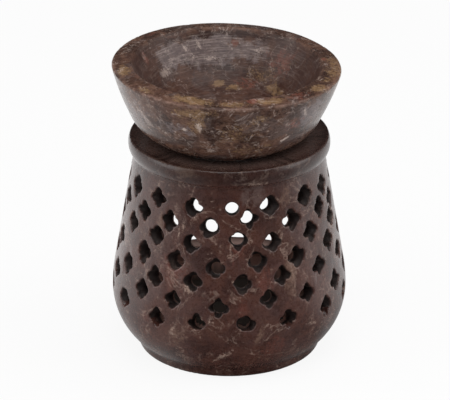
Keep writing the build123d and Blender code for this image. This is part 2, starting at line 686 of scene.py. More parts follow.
@dataclass(frozen=True)
class ArchShape:
    """The arch at the back, where the candle goes in."""

    width: float = 44.0
    sill_height: float = 19.7
    spring_height: float = 24.0
    corner: float = 2.5
    corner_lift: float = 0.5
    sill_widening: float = 1.2
    touch: float = 1e-4
    steps: int = 48

    def add_cutter(self, cutters: BMesh, reach: float) -> None:
        """Add the arch's cutter to the others.

        Args:
            cutters: Mesh that all the cutters share, in millimetres.
            reach: How far back it goes.
        """
        radius = self.width / 2
        disc = bmesh.ops.create_circle(
            cutters,
            cap_ends=True,
            segments=self.steps,
            radius=radius,
            matrix=Matrix.Translation((0, 0, self.spring_height)) @ Matrix.Rotation(pi / 2, 4, "X"),
        )
        for vertex in disc["verts"]:
            if vertex.co.z < self.spring_height - self.touch:
                across = vertex.co.x / radius
                vertex.co.z = self.sill_height
                vertex.co.x = max(min(across * self.sill_widening, 1.0), -1.0) * radius
                edge = fade(abs(vertex.co.x), radius - self.corner, radius)
                vertex.co.z += edge * self.corner * self.corner_lift
        face = disc["verts"][0].link_faces[0]
        pulled = bmesh.ops.extrude_face_region(cutters, geom=[face])
        far = [part for part in pulled["geom"] if isinstance(part, BMVert)]
        bmesh.ops.translate(cutters, vec=(0, reach, 0), verts=far)


class PiercedBand:
    """The rows of holes: those on the front given one by one, the rest spread evenly.

    A row's front holes are given as an angle and a stray upward, as a share of the mean distance
    between rows. PLAIN_HOLE, FLAT_FEET and DRILL_STRAYS name a hole by its row and its angle.
    """

    TOP_ROW_DROP = 4.5
    BOTTOM_ROW_RISE = 2.3
    HOLES_IN_ROW = 16
    BRIDGE = 1.6
    PLAIN_HOLE = (0, 2)
    ROW_SHARES = (1.0, 0.84, 0.685, 0.52, 0.36, 0.175, 0.0)
    FRONT_STRAYS = (
        ((-67, 0), (-45, 0), (-21, 0), (2, 0), (24, 0), (49, 0), (68, 0)),
        ((-79, 0), (-55, 0), (-35, 0), (-11, 0), (11, 0.45), (37, 0), (61, 0), (77, 0)),
        ((-65, 0), (-43, 0), (-21, 0), (5, 0.3), (24, 0), (50, 0), (73, 0)),
        ((-79, -0.25), (-51, -0.15), (-29, 0), (-7, -0.2), (15, 0.15), (38, 0), (65, 0)),
        ((-64, -0.25), (-41, -0.2), (-19, 0), (7, 0), (28, 0.15), (53, 0), (77, 0)),
        ((-77, 0), (-49, 0), (-29, 0), (-5, -0.15), (20, 0.2), (42, 0), (66, -0.2), (85, 0)),
        ((-63, 0), (-38, -0.15), (-16, 0), (8, 0), (30, 0), (55, -0.15), (78, -0.25)),
    )
    FLAT_FEET = {(6, -16): 0.42, (6, 8): 0.42}
    DRILL_STRAYS = {
        (0, -21): (0.3, 0.2),
        (0, 24): (-0.7, 0.7),
        (1, -11): (0.0, 0.1),
        (1, 11): (-0.1, 0.1),
        (2, 24): (-0.4, 0.5),
    }
    SEED = 41
    DRILL_STRAY_RANGE = (-0.35, 0.35)
    LEAN_RANGE = (-5, 5)
    STRETCH_RANGE = (0.94, 1.06)
    RISE_RANGE = (0.94, 1.05)
    FULLNESS_RANGE = (1.08, 1.5)
    SIDE_NOTCH_RANGE = (-0.3, 1.2)
    FOOT_NOTCH_RANGE = (0.0, 1.2)

    def __init__(self, wall: WallShape, shape: HoleShape, arch: ArchShape) -> None:
        """Keep the wall that the band goes round, the usual hole and the arch that it clears."""
        self.wall = wall
        self.shape = shape
        self.arch = arch

    def holes(self) -> list[Hole]:
        """Lay out the rows from the top one down.

        Returns:
            All the holes of the band, each with its own strays.
        """
        draw = random.Random(self.SEED)
        top = self.wall.neck_height - self.TOP_ROW_DROP
        bottom = self.wall.belly_height + self.BOTTOM_ROW_RISE
        pitch = (top - bottom) / (len(self.ROW_SHARES) - 1)
        made = []
        for row, (share, front) in enumerate(zip(self.ROW_SHARES, self.FRONT_STRAYS)):
            first, last = front[0][0], front[-1][0]
            missing = self.HOLES_IN_ROW - len(front)
            step = (360 - (last - first)) / (missing + 1)
            places = list(front) + [(last + step * (i + 1), 0) for i in range(missing)]
            for angle, stray in places:
                height = bottom + share * (top - bottom) + stray * pitch
                hole = self.hand_made(row, angle, height, draw)
                if self.clears_arch(angle, height):
                    made.append(hole)
        return made

    def hand_made(self, row: int, angle: float, height: float, draw: random.Random) -> Hole:
        """Draw the strays of one hole.

        Args:
            row: Number of its row, from the top one down.
            angle: Its angle from the front, in degrees.
            height: Height of its centre.
            draw: Source of the strays.

        Returns:
            The hole.
        """
        side, foot = self.shape.side_notch, self.shape.foot_notch
        stray = (draw.uniform(*self.DRILL_STRAY_RANGE), draw.uniform(*self.DRILL_STRAY_RANGE))
        return Hole(
            angle=angle,
            height=height,
            filed=(row, angle) != self.PLAIN_HOLE,
            lean=draw.uniform(*self.LEAN_RANGE),
            stretch=draw.uniform(*self.STRETCH_RANGE),
            rise=draw.uniform(*self.RISE_RANGE),
            fullness=draw.uniform(*self.FULLNESS_RANGE),
            flat_foot=self.FLAT_FEET.get((row, angle), 0.0),
            notches=(
                side * draw.uniform(*self.SIDE_NOTCH_RANGE),
                side * draw.uniform(*self.SIDE_NOTCH_RANGE),
                foot * draw.uniform(*self.FOOT_NOTCH_RANGE),
                foot * draw.uniform(*self.FOOT_NOTCH_RANGE),
            ),
            drill_stray=self.DRILL_STRAYS.get((row, angle), stray),
        )

    def clears_arch(self, angle: float, height: float) -> bool:
        """Whether a hole leaves a bridge of stone between itself and the arch.

        Args:
            angle: Its angle from the front, in degrees.
            height: Height of its centre.

        Returns:
            True where it does, and for every hole on the front half.
        """
        turn = radians(angle)
        if cos(turn) > 0:
            return True
        across = self.wall.outer_radius(height) * sin(turn)
        above_spring = max(height - self.arch.spring_height, 0)
        room = self.arch.width / 2 + self.shape.reach_up + self.BRIDGE
        return hypot(across, above_spring) > room


@dataclass(frozen=True)
class Chip:
    """A small chip out of an edge.

    Attributes:
        angle: Angle of its centre from the front, in degrees.
        radius: Distance of its centre from the axis.
        height: Height of its centre.
        size: Half its size across, outwards and up.
        seed: Number that gives it a shape of its own.
        lumpiness: How far it strays from a smooth ball, as a share.
        lump_wave: Lumps in one radius of that ball.
    """

    angle: float
    radius: float
    height: float
    size: tuple[float, float, float]
    seed: int
    lumpiness: float = 0.35
    lump_wave: float = 1.7

    def add_cutter(self, cutters: BMesh) -> None:
        """Add a lumpy ball that takes the chip out.

        Args:
            cutters: Mesh that all the cutters share, in millimetres.
        """
        made = bmesh.ops.create_icosphere(cutters, subdivisions=3, radius=1)
        for vertex in made["verts"]:
            lump = noise.noise(vertex.co * self.lump_wave + Vector((self.seed, 0, 0)))
            vertex.co *= 1 + self.lumpiness * lump
        place = round_the_axis(self.angle, self.radius, self.height)
        turned = Matrix.Rotation(radians(self.angle), 4, "Z") @ Matrix.Diagonal((*self.size, 1))
        bmesh.ops.transform(cutters, matrix=Matrix.Translation(place) @ turned, verts=made["verts"])


@dataclass
class PiercedBody:
    """The turned and pierced body, with its chamber, its seat for the bowl and its arch.

    A pair of numbers is where a change along a length or a noise starts and where it is
    complete; change sets the width of the others. A wave is in waves for each millimetre.
    """

    wall: WallShape
    hole: HoleShape
    arch: ArchShape
    chips: tuple[Chip, ...]
    marks: tuple[Mark, ...]
    blank_steps: int = 300
    blank_run: float = 1.5
    voxel: float = 0.36
    most_triangles: int = 195_000
    smoothing: float = 0.5
    true_steps: int = 360
    true_run: float = 1.0
    true_facing: float = 0.9
    true_range: tuple[float, float] = (0.16, 0.05)
    sharpest: float = 0.9
    worn_range: tuple[float, float] = (0.2, 0.9)
    nick_wave: float = 0.9
    nick_range: tuple[float, float] = (0.25, 0.7)
    nick_depth: float = 0.3
    plain_band: float = 2.0
    mouth_range: tuple[float, float] = (-0.3, 1.5)
    hole_range: tuple[float, float] = (0.05, 0.7)
    base_range: tuple[float, float] = (1.5, 4.0)
    base_floor_range: tuple[float, float] = (4.0, 6.0)
    change: float = 1.0
    seat_range: tuple[float, float] = (-0.1, 0.5)
    neck_band: float = 14.0
    collar_shade: float = 0.65
    neck_shade: float = 0.16
    chamber_wall_range: tuple[float, float] = (-1.2, -0.4)
    chamber_floor_range: tuple[float, float] = (-2.0, -1.0)
    soot_floor_range: tuple[float, float] = (4.0, 0.5)
    soot_vault_range: tuple[float, float] = (-12.0, -3.0)
    # How pale the edges are painted: wear, and at the lip a painted highlight as well
    lip_wear: float = 0.6
    foot_wear: float = 0.5
    least_wear: float = 0.05

    def cutters(self) -> Object:
        """Everything that is cut out of the turned wall.

        Returns:
            One object with all the cutters.
        """
        solid = bmesh.new()
        for hole in PiercedBand(self.wall, self.hole, self.arch).holes():
            hole.add_cutter(solid, self.hole, self.wall)
        self.arch.add_cutter(solid, self.wall.belly_radius + self.hole.overrun)
        for chip in self.chips:
            chip.add_cutter(solid)
        bmesh.ops.recalc_face_normals(solid, faces=solid.faces)
        return new_object("body_cutters", scaled(solid, MM))

    def carved(self) -> BMesh:
        """Cut the holes and the arch, and soften every edge as filing and polishing do.

        Returns:
            The solid, in metres and with far more faces than it needs.
        """
        blank = new_object("body_blank", scaled(self.wall.solid(self.blank_steps, self.blank_run), MM))
        cutters = self.cutters()
        add_modifier(blank, "BOOLEAN", operation="DIFFERENCE", solver="MANIFOLD", object=cutters)
        add_modifier(blank, "REMESH", mode="VOXEL", voxel_size=self.voxel * MM, adaptivity=0)
        add_modifier(blank, "SMOOTH", factor=self.smoothing, iterations=1)
        solid = finished_mesh(blank)
        bpy.data.objects.remove(cutters)
        return solid

    def thinned(self, solid: BMesh) -> BMesh:
        """Merge the faces that the flat parts don't need.

        Args:
            solid: The carved solid, in metres.

        Returns:
            The solid in millimetres, with no more triangles than it may have.
        """
        triangles = 2 * len(solid.faces)
        dense = new_object("body_dense", solid)
        add_modifier(dense, "DECIMATE", ratio=min(self.most_triangles / triangles, 1.0))
        return scaled(finished_mesh(dense), 1 / MM)

    def trued(self, solid: BMesh) -> None:
        """Set the turned faces back onto the exact outline, away from the cut edges.

        Args:
            solid: The carved solid, in millimetres.
        """
        surface = BVHTree.FromBMesh(self.wall.solid(self.true_steps, self.true_run))
        for vertex in solid.verts:
            place, normal, _, distance = surface.find_nearest(vertex.co)
            if distance < self.true_range[0] and normal.dot(vertex.normal) > self.true_facing:
                vertex.co = vertex.co.lerp(place, fade(distance, *self.true_range))

    def build(self) -> Object:
        """Build the body, paint its marks and put it in the scene.

        Returns:
            The body's object.
        """
        solid = self.thinned(self.carved())
        self.trued(solid)
        solid.normal_update()
        rounded = roundness(solid, self.sharpest, spread_times=1)
        wear_and_glint = [fade(share, *self.worn_range) for share in rounded]
        for vertex in solid.verts:
            nick = fade(noise.noise(vertex.co * self.nick_wave), *self.nick_range) * wear_and_glint[vertex.index]
            vertex.co -= vertex.normal * nick * self.nick_depth
        places = [vertex.co.copy() for vertex in solid.verts]
        smooth_shaded(solid)
        made = new_object("carved_body", scaled(solid, MM))
        # Edges painted pale, as wear and, at the lip, as a painted highlight
        wear_and_light = [share * self.wear_and_light(place) for share, place in zip(wear_and_glint, places)]
        write_attribute(made.data, "wear_and_glint", wear_and_light)
        # The finish reads these as painted shade in the hollows, painted light on the chamber's wall,
        # soot, and painted shade under the bowl
        for name, share_at in (
            ("inside", self.depth),
            ("chamber", self.chamber),
            ("soot", self.soot),
            ("shade", self.shade),
        ):
            write_attribute(made.data, name, [share_at(place) for place in places])
        paint(made.data, self.marks)
        return made

    def depth(self, place: Vector) -> float:
        """How far a point is in a hole, the mouth or the chamber, from 0 at the face to 1.

        Args:
            place: Point of the piece, in millimetres.

        Returns:
            The share, from 0 to 1.
        """
        wall = self.wall
        radius = hypot(place.x, place.y)
        if place.z > wall.groove_foot_height - self.plain_band:
            return fade(wall.mouth_radius - radius, *self.mouth_range)
        if place.z < wall.belly_height:
            share = place.z / wall.belly_height
            outer = wall.foot_radius + (wall.belly_radius - wall.foot_radius) * share
            return fade(outer - radius, *self.base_range) * fade(place.z, *self.base_floor_range)
        return fade(wall.outer_radius(place.z) - radius, *self.hole_range)

    def shade(self, place: Vector) -> float:
        """How far the bowl keeps the light off: the seat most, the collar and the neck less.

        Args:
            place: Point of the piece, in millimetres.

        Returns:
            The share, from 0 to 1.
        """
        wall = self.wall
        inward = wall.lip_radius - wall.lip_land - hypot(place.x, place.y)
        above_collar = fade(place.z, wall.collar_height, wall.collar_height + self.change)
        seat = fade(inward, *self.seat_range) * above_collar
        collar = fade(place.z, wall.groove_foot_height, wall.collar_height) * self.collar_shade
        neck = fade(place.z, wall.neck_height - self.neck_band, wall.neck_height) * self.neck_shade
        return max(seat, collar, neck)

    def chamber(self, place: Vector) -> float:
        """Whether a point is on the chamber's wall or floor, as a share from 0 to 1.

        Args:
            place: Point of the piece, in millimetres.

        Returns:
            The share, from 0 to 1.
        """
        wall = self.wall
        outer = wall.outer_radius(min(max(place.z, wall.belly_height), wall.neck_height))
        in_from_face = outer - hypot(place.x, place.y) - wall.wall
        above_floor = place.z - wall.floor_height
        return fade(in_from_face, *self.chamber_wall_range) * fade(above_floor, *self.chamber_floor_range)

    def soot(self, place: Vector) -> float:
        """How sooty a point is: the chamber's floor and the vault above the flame.

        Args:
            place: Point of the piece, in millimetres.

        Returns:
            The share, from 0 to 1.
        """
        if place.z > self.wall.neck_height or hypot(place.x, place.y) > self.wall.neck_radius:
            return 0.0
        floor = fade(place.z - self.wall.floor_height, *self.soot_floor_range)
        vault = fade(place.z - self.wall.neck_height, *self.soot_vault_range)
        return self.chamber(place) * max(floor, vault)

    def wear_and_light(self, place: Vector) -> float:
        """How pale an edge is painted, as wear from hands and, at the lip, as a painted highlight: the
        lip and the foot more than the holes.

        Args:
            place: Point of the piece, in millimetres.

        Returns:
            The share, from 0 to 1.
        """
        lip = fade(place.z - self.wall.collar_height, -self.change, self.change)
        foot = fade(place.z, self.wall.foot_height + 2 * self.change, 0.0)
        return max(lip * self.lip_wear, foot * self.foot_wear, self.least_wear)


# Bowl


@dataclass(frozen=True)
class BowlShape:
    """Outline of the bowl, drawn about the centre of the ball that its underside is part of."""

    rise: float = 25.85
    radius: float = 38.15
    flare: float = 7.75
    turn_radius: float = 15.0
    base_radius: float = 15.0
    lean: float = 1.7
    nod: float = 0.45
    side_bow: float = 0.38
    rim_fall: float = 0.9
    rim_soft: float = 0.85
    inner_rim_soft: float = 0.3
    rim_width: float = 6.5
    well_depth: float = 17.0
    well_batter: float = 10.65
    well_soft: float = 7.2
    underside_radius: float = 60.0
    seat_gap: float = 0.15
    ball_steps: int = 16
    turn_steps: int = 14
    side_steps: int = 16

    def ball_height(self, wall: WallShape) -> float:
        """Height of the ball's centre, so that the ball seats on the mouth's edge."""
        seat_height = wall.lip_height - wall.seat_drop
        return seat_height + sqrt(self.underside_radius**2 - wall.mouth_radius**2)

    def tilt(self) -> Matrix:
        """Turn of the bowl about the ball's centre: it leans to the right and nods forward."""
        return Matrix.Rotation(radians(self.nod), 3, "X") @ Matrix.Rotation(radians(self.lean), 3, "Y")

    def upright(self, place: Vector, wall: WallShape) -> Vector:
        """Turn a point of the tilted bowl back to where it would be if the bowl stood upright."""
        centre = Vector((0, 0, self.ball_height(wall)))
        return self.tilt().inverted() @ (place - centre) + centre

    def turn(self, corner: Vector, rim_corner: Vector) -> tuple[Vector, Vector, Vector]:
        """Rounding between the ball and the side.

        Args:
            corner: Radius and height at which the side would meet the ball.
            rim_corner: Radius and height of the side's top end.

        Returns:
            Centre of the rounding's arc, its start on the ball and its end on the side.
        """
        ball = self.underside_radius - self.seat_gap
        way = (rim_corner - corner).normalized()
        inward = Vector((-way.y, way.x))
        foot = corner + inward * self.turn_radius
        along = foot.dot(way)
        root = sqrt(along**2 - foot.length_squared + (ball - self.turn_radius) ** 2)
        centre = foot - way * (along + root)
        return centre, centre * (ball / centre.length), centre - inward * self.turn_radius

    def solid(self, wall: WallShape, steps: int, longest_run: float) -> BMesh:
        """Turn the bowl and tilt it on its seat.

        Args:
            wall: The body that it stands on.
            steps: Faces round the axis.
            longest_run: Longest edge of the outline.

        Returns:
            The closed solid, in millimetres.
        """
        ball = self.underside_radius - self.seat_gap
        ball_height = self.ball_height(wall)
        rim = wall.lip_height - wall.seat_drop + self.rise - ball_height
        corner_radius = self.radius - self.flare
        corner = Vector((corner_radius, -sqrt(ball**2 - corner_radius**2)))
        rim_corner = Vector((self.radius, rim - self.rim_fall))
        centre, turn_start, turn_end = self.turn(corner, rim_corner)
        base_height = -sqrt(ball**2 - self.base_radius**2)
        well_radius = self.radius - self.rim_width
        outline = Outline(0, base_height)
        outline.line_to(self.base_radius, base_height)
        outline.arc_to((0, 0), turn_start.x, turn_start.y, self.ball_steps)
        outline.arc_to((centre.x, centre.y), turn_end.x, turn_end.y, self.turn_steps)
        side = rim_corner - turn_end
        sweep = (side.length_squared / 4 + self.side_bow**2) / (2 * self.side_bow)
        inward = Vector((-side.y, side.x)).normalized() * (sweep - self.side_bow)
        middle = (turn_end + rim_corner) / 2 + inward
        outline.arc_to((middle.x, middle.y), rim_corner.x, rim_corner.y, self.side_steps)
        outline.soft_corners.append((outline.last, self.rim_soft))
        outline.line_to(well_radius, rim, soft=self.inner_rim_soft)
        outline.line_to(well_radius - self.well_batter, rim - self.well_depth, soft=self.well_soft)
        outline.line_to(0, rim - self.well_depth)
        solid = outline.turned(steps, longest_run)
        bmesh.ops.rotate(solid, cent=(0, 0, 0), matrix=self.tilt(), verts=solid.verts)
        bmesh.ops.translate(solid, vec=(0, 0, ball_height), verts=solid.verts)
        return solid


@dataclass
class Bowl:
    """The loose bowl for water and oil.

    A pair of numbers is where a change along a length or a noise starts and where it is
    complete; change sets the width of the others. A wave is in waves for each millimetre.
    """

    shape: BowlShape
    wall: WallShape
    marks: tuple[Mark, ...]
    steps: int = 380
    longest_run: float = 0.62
    unevenness: float = 0.12
    unevenness_wave: float = 0.07
    hollow_offset: float = 0.5
    above_lip_range: tuple[float, float] = (3.0, 10.0)
    sharpest: float = 0.5
    nick_wave: float = 0.8
    nick_seed: int = 9
    nick_range: tuple[float, float] = (0.2, 0.7)
    nick_depth: float = 0.35
    change: float = 1.0
    # Where the well's painted shade is left off: the back wall, which faces the light
    unshaded_angle: float = -165.0
    unshaded_spread: float = 60.0
    unshaded_core: float = 0.6
    # Breaks in the pale outer rim edge, which is wear and a painted highlight
    wear_wave: float = 0.11
    wear_range: tuple[float, float] = (-0.35, 0.3)
    least_wear: float = 0.15
    floor_room: float = 1.0
    well_range: tuple[float, float] = (0.2, 2.0)

    def build(self) -> Object:
        """Build the bowl, paint its marks and put it in the scene.

        Returns:
            The bowl's object.
        """
        solid = self.shape.solid(self.wall, self.steps, self.longest_run)
        solid.normal_update()
        wear_and_glint = roundness(solid, self.sharpest, spread_times=2)
        wear_and_glint = [share * self.wear_and_light(vertex.co) for share, vertex in zip(wear_and_glint, solid.verts)]
        for vertex in solid.verts:
            chance = noise.noise(vertex.co * self.nick_wave + Vector((self.nick_seed, 0, 0)))
            nick = fade(chance, *self.nick_range) * wear_and_glint[vertex.index] * self.nick_depth
            hollow = noise.noise(vertex.co * self.unevenness_wave) - self.hollow_offset
            free = fade(vertex.co.z - self.wall.lip_height, *self.above_lip_range)
            vertex.co += vertex.normal * (hollow * self.unevenness * free - nick)
        smooth_shaded(solid)
        depths = [self.depth(vertex.co) for vertex in solid.verts]
        # Painted shade on the well's walls, left off the lit back wall
        walls = [depth * self.off_back(vertex.co) for depth, vertex in zip(depths, solid.verts)]
        made = new_object("stone_bowl", scaled(solid, MM))
        # Rim edges painted pale, as wear and as a painted highlight
        write_attribute(made.data, "wear_and_glint", wear_and_glint)
        write_attribute(made.data, "inside", depths)
        write_attribute(made.data, "shade", walls)
        paint(made.data, self.marks)
        return made

    def wear_and_light(self, place: Vector) -> float:
        """How pale an edge is painted, as wear and as a painted highlight: the rim's outer one here and
        there, its inner one little.

        Args:
            place: Point of the piece, in millimetres.

        Returns:
            The share, from 0 to 1.
        """
        upright = self.shape.upright(place, self.wall)
        middle = self.shape.radius - self.shape.rim_width / 2
        outer = fade(hypot(upright.x, upright.y) - middle, -self.change, self.change)
        wear_and_glint = outer * fade(noise.noise(place * self.wear_wave), *self.wear_range)
        return self.least_wear + wear_and_glint * (1 - self.least_wear)

    def off_back(self, place: Vector) -> float:
        """How far a point is off the back of the well, which faces the light and gets no painted shade.

        Args:
            place: Point of the piece, in millimetres.

        Returns:
            The share, from 0 to 1.
        """
        angle = degrees(atan2(place.x, -place.y))
        off = abs(angle_between(angle, self.unshaded_angle))
        return fade(off, self.unshaded_spread * self.unshaded_core, self.unshaded_spread)

    def depth(self, place: Vector) -> float:
        """How far a point is down in the well, from 0 outside to 1.

        Args:
            place: Point of the piece, in millimetres.

        Returns:
            The share, from 0 to 1.
        """
        upright = self.shape.upright(place, self.wall)
        rim = self.wall.lip_height - self.wall.seat_drop + self.shape.rise
        well = self.shape.radius - self.shape.rim_width
        floor = rim - self.shape.well_depth - self.floor_room
        if hypot(upright.x, upright.y) > well or upright.z < floor:
            return 0.0
        return fade(rim - upright.z, *self.well_range)


# Finishes

# Value that the noise of a finish varies about
NOISE_MIDDLE = 0.5


class Tree:
    """Adds nodes to a node tree and joins them."""

    def __init__(self, tree: NodeTree) -> None:
        """Keep the tree that the nodes go into."""
        self.tree = tree

    def add(self, kind: str, inputs: dict[str | int, Value] | None = None, **settings: object) -> Node:
        """Add a node.

        Args:
            kind: Name of the node's type after "ShaderNode".
            inputs: What goes into its sockets, by name or place: a value or another socket.
            settings: Its other settings.

        Returns:
            The node.
        """
        made = self.tree.nodes.new(f"ShaderNode{kind}")
        for name, setting in settings.items():
            setattr(made, name, setting)
        for key, value in (inputs or {}).items():
            self.feed(made.inputs[key], value)
        return made

    def feed(self, socket: NodeSocket, value: Value) -> None:
        """Set a socket to a value, or link another socket to it."""
        if isinstance(value, NodeSocket):
            self.tree.links.new(value, socket)
        else:
            socket.default_value = value

    def noise(
        self,
        vector: NodeSocket,
        scale: Value,
        detail: float = 4.0,
        rough: float = 0.55,
        bend: float = 0.0,
    ) -> NodeSocket:
        """Noise from 0 to 1 over the surface.

        Args:
            vector: Where it is read.
            scale: Waves in one unit of the vector.
            detail: How many finer layers it has.
            rough: How strong the finer layers are.
            bend: How far it is bent out of shape.

        Returns:
            Its value.
        """
        inputs = {
            "Vector": vector,
            "Scale": scale,
            "Detail": detail,
            "Roughness": rough,
            "Distortion": bend,
        }
        return self.add("TexNoise", inputs).outputs["Fac"]

    def between(
        self, value: NodeSocket, low: Value, high: Value, start: Value = 0.0, end: Value = 1.0
    ) -> NodeSocket:
        """Map a value smoothly from the range low to high onto start to end."""
        inputs = {0: value, 1: low, 2: high, 3: start, 4: end}
        return self.add("MapRange", inputs, interpolation_type="SMOOTHSTEP").outputs[0]

    def sum(self, operation: str, first: Value, second: Value = 0.0) -> NodeSocket:
        """One step of arithmetic."""
        return self.add("Math", {0: first, 1: second}, operation=operation).outputs[0]

    def times(self, first: Value, second: Value) -> NodeSocket:
        """Product of two values."""
        return self.sum("MULTIPLY", first, second)

    def waves(self, size: Value) -> NodeSocket:
        """Scale of a pattern whose features are of a size."""
        return self.sum("DIVIDE", 1.0, size)

    def vector(self, operation: str, first: Value, second: Value = (0.0, 0.0, 0.0)) -> NodeSocket:
        """One step of arithmetic on vectors."""
        return self.add("VectorMath", {0: first, 1: second}, operation=operation).outputs[0]

    def stretched(self, vector: Value, factor: Value) -> NodeSocket:
        """A vector times a value."""
        return self.add("VectorMath", {0: vector, 3: factor}, operation="SCALE").outputs[0]

    def length(self, vector: Value) -> NodeSocket:
        """Length of a vector."""
        return self.add("VectorMath", {0: vector}, operation="LENGTH").outputs["Value"]

    def blend(self, share: Value, first: Value, second: Value) -> NodeSocket:
        """Blend one value into another."""
        return self.add("Mix", {0: share, 2: first, 3: second}).outputs[0]

    def glow(self, strength: Value) -> NodeSocket:
        """White light from the surface itself."""
        return self.add("Emission", {"Color": (1, 1, 1, 1), "Strength": strength}).outputs[0]

    def mix(self, share: Value, first: Value, second: Value, blend: str = "MIX") -> NodeSocket:
        """Blend one colour into another."""
        made = self.add("Mix", {0: share, 6: first, 7: second}, data_type="RGBA", blend_type=blend)
        return made.outputs[2]

    def attribute(self, name: str) -> NodeSocket:
        """Value that the mesh carries under a name."""
        return self.add("Attribute", attribute_name=name).outputs["Fac"]


def emptied_tree(holder: Material | World) -> Tree:
    """Switch on the nodes of a material or a world and take out those that it starts with.

    Args:
        holder: The material or the world.

    Returns:
        Its tree.
    """
    holder.use_nodes = True
    holder.node_tree.nodes.clear()
    return Tree(holder.node_tree)


class Effect(Enum):
    """Effects that the finishes share; EffectGroups has a method of the same name for each."""

    MOTTLE = "mottle"
    BRECCIA = "breccia"
    PATCH = "patch"
    SPECKS = "specks"
    FLECKS = "flecks"
    VEINS = "veins"
    LATHE_SPACE = "lathe_space"
    SCRATCHES = "scratches"


class EffectGroups:
    """Builds the node group of each effect and places it in a finish.

    A size is in millimetres. A threshold is the noise at which an effect with a share of 0 starts
    to show, an edge is how much more noise it takes to show in full, and waves are a second
    pattern's waves in one of the first's.
    """

    INPUTS = {
        Effect.MOTTLE: ("Size", "Crispness"),
        Effect.BRECCIA: ("Size", "Bend"),
        Effect.PATCH: ("Amount", "Size", "Texture"),
        Effect.SPECKS: ("Size", "Cluster", "Share"),
        Effect.FLECKS: ("Size", "Share"),
        Effect.VEINS: ("Size", "Width", "Share"),
        Effect.LATHE_SPACE: ("Stretch", "Pitch"),
        Effect.SCRATCHES: ("Size", "Share"),
    }
    PATCH_COARSE = 1.6
    PATCH_FINE_WAVES = 3.1
    PATCH_EDGE = (0.36, 0.66)
    PATCH_FOOT = 0.22
    SPECK_GATHERING = 0.9
    SPECK_THRESHOLD = 0.86
    SPECK_EDGE = 0.09
    FLECK_BEND_WAVES = 0.9
    FLECK_SIZES = (0.15, 0.45)
    FLECK_CORE = 0.4
    VEIN_BREAK_WAVES = 1.9
    VEIN_THRESHOLD = 0.75
    VEIN_EDGE = 0.15
    SCRATCH_TURNS = ((0.3, 0.9, 0.2), (1.2, 0.1, 0.7), (0.5, 2.1, 1.4))
    SCRATCH_STRETCH = (0.05, 1.0, 1.0)
    SCRATCH_EDGE = 0.05

    def __init__(self) -> None:
        """Build all the groups."""
        self.groups = {effect: self.group(effect) for effect in Effect}

    def group(self, effect: Effect) -> ShaderNodeTree:
        """Build one group, with its vector and its own values as inputs.

        Args:
            effect: Which effect.

        Returns:
            The group, whose one output is its mask, or its vector.
        """
        tree = bpy.data.node_groups.new(effect.value, "ShaderNodeTree")
        tree.interface.new_socket("Vector", in_out="INPUT", socket_type="NodeSocketVector")
        for name in self.INPUTS[effect]:
            tree.interface.new_socket(name, in_out="INPUT", socket_type="NodeSocketFloat")
        vector_out = effect is Effect.LATHE_SPACE
        kind = "NodeSocketVector" if vector_out else "NodeSocketFloat"
        tree.interface.new_socket("Vector" if vector_out else "Mask", in_out="OUTPUT", socket_type=kind)
        sheet = Tree(tree)
        entry = tree.nodes.new("NodeGroupInput").outputs
        leave = tree.nodes.new("NodeGroupOutput")
        build: Builder = getattr(self, effect.value)
        sheet.feed(leave.inputs[0], build(sheet, entry))
        return tree

    def place(self, sheet: Tree, effect: Effect, vector: NodeSocket, *values: Value) -> NodeSocket:
        """Place an effect in a material.

        Args:
            sheet: The material's tree.
            effect: Which effect.
            vector: Where on the piece it is read, in millimetres.
            values: Its own values, in the order of its inputs.

        Returns:
            Its output.
        """
        made = sheet.add("Group", node_tree=self.groups[effect])
        sheet.feed(made.inputs["Vector"], vector)
        for name, value in zip(self.INPUTS[effect], values):
            sheet.feed(made.inputs[name], value)
        return made.outputs[0]

    @staticmethod
    def mottle(sheet: Tree, entry: Sockets) -> NodeSocket:
        """Cloudy patches of about a given size.

        Args:
            sheet: The group's tree.
            entry: The group's inputs.

        Returns:
            The mask.
        """
        scale = sheet.waves(entry["Size"])
        clouds = sheet.noise(entry["Vector"], scale, detail=6, rough=0.62, bend=0.6)
        low = sheet.sum("SUBTRACT", NOISE_MIDDLE, entry["Crispness"])
        high = sheet.sum("ADD", NOISE_MIDDLE, entry["Crispness"])
        return sheet.between(clouds, low, high)

    @staticmethod
    def breccia(sheet: Tree, entry: Sockets) -> NodeSocket:
        """Broken pieces grown together, each with its own tone from 0 to 1.

        Args:
            sheet: The group's tree.
            entry: The group's inputs.

        Returns:
            The tone.
        """
        scale = sheet.waves(entry["Size"])
        inputs = {"Vector": entry["Vector"], "Scale": scale, "Detail": 5.0, "Roughness": 0.65}
        bend = sheet.add("TexNoise", inputs).outputs["Color"]
        bend = sheet.vector("SUBTRACT", bend, (NOISE_MIDDLE,) * 3)
        bend = sheet.stretched(bend, sheet.times(entry["Bend"], entry["Size"]))
        bent = sheet.vector("ADD", entry["Vector"], bend)
        cells = sheet.add("TexVoronoi", {"Vector": bent, "Scale": scale, "Randomness": 1.0})
        return sheet.add("SeparateColor", {0: cells.outputs["Color"]}).outputs[0]

    @classmethod
    def patch(cls, sheet: Tree, entry: Sockets) -> NodeSocket:
        """A painted mark with a ragged edge and a broken, grainy middle.

        Args:
            sheet: The group's tree.
            entry: The group's inputs.

        Returns:
            The mask.
        """
        scale = sheet.waves(entry["Size"])
        coarse = sheet.noise(entry["Vector"], scale, detail=5, rough=0.6, bend=0.9)
        coarse = sheet.times(sheet.sum("SUBTRACT", coarse, NOISE_MIDDLE), cls.PATCH_COARSE)
        fine_scale = sheet.times(scale, cls.PATCH_FINE_WAVES)
        fine = sheet.noise(entry["Vector"], fine_scale, detail=6, rough=0.7, bend=1.2)
        fine = sheet.times(sheet.sum("SUBTRACT", fine, NOISE_MIDDLE), entry["Texture"])
        whole = sheet.sum("ADD", entry["Amount"], sheet.sum("ADD", coarse, fine))
        shown = sheet.between(whole, *cls.PATCH_EDGE)
        return sheet.times(shown, sheet.between(entry["Amount"], 0.0, cls.PATCH_FOOT))

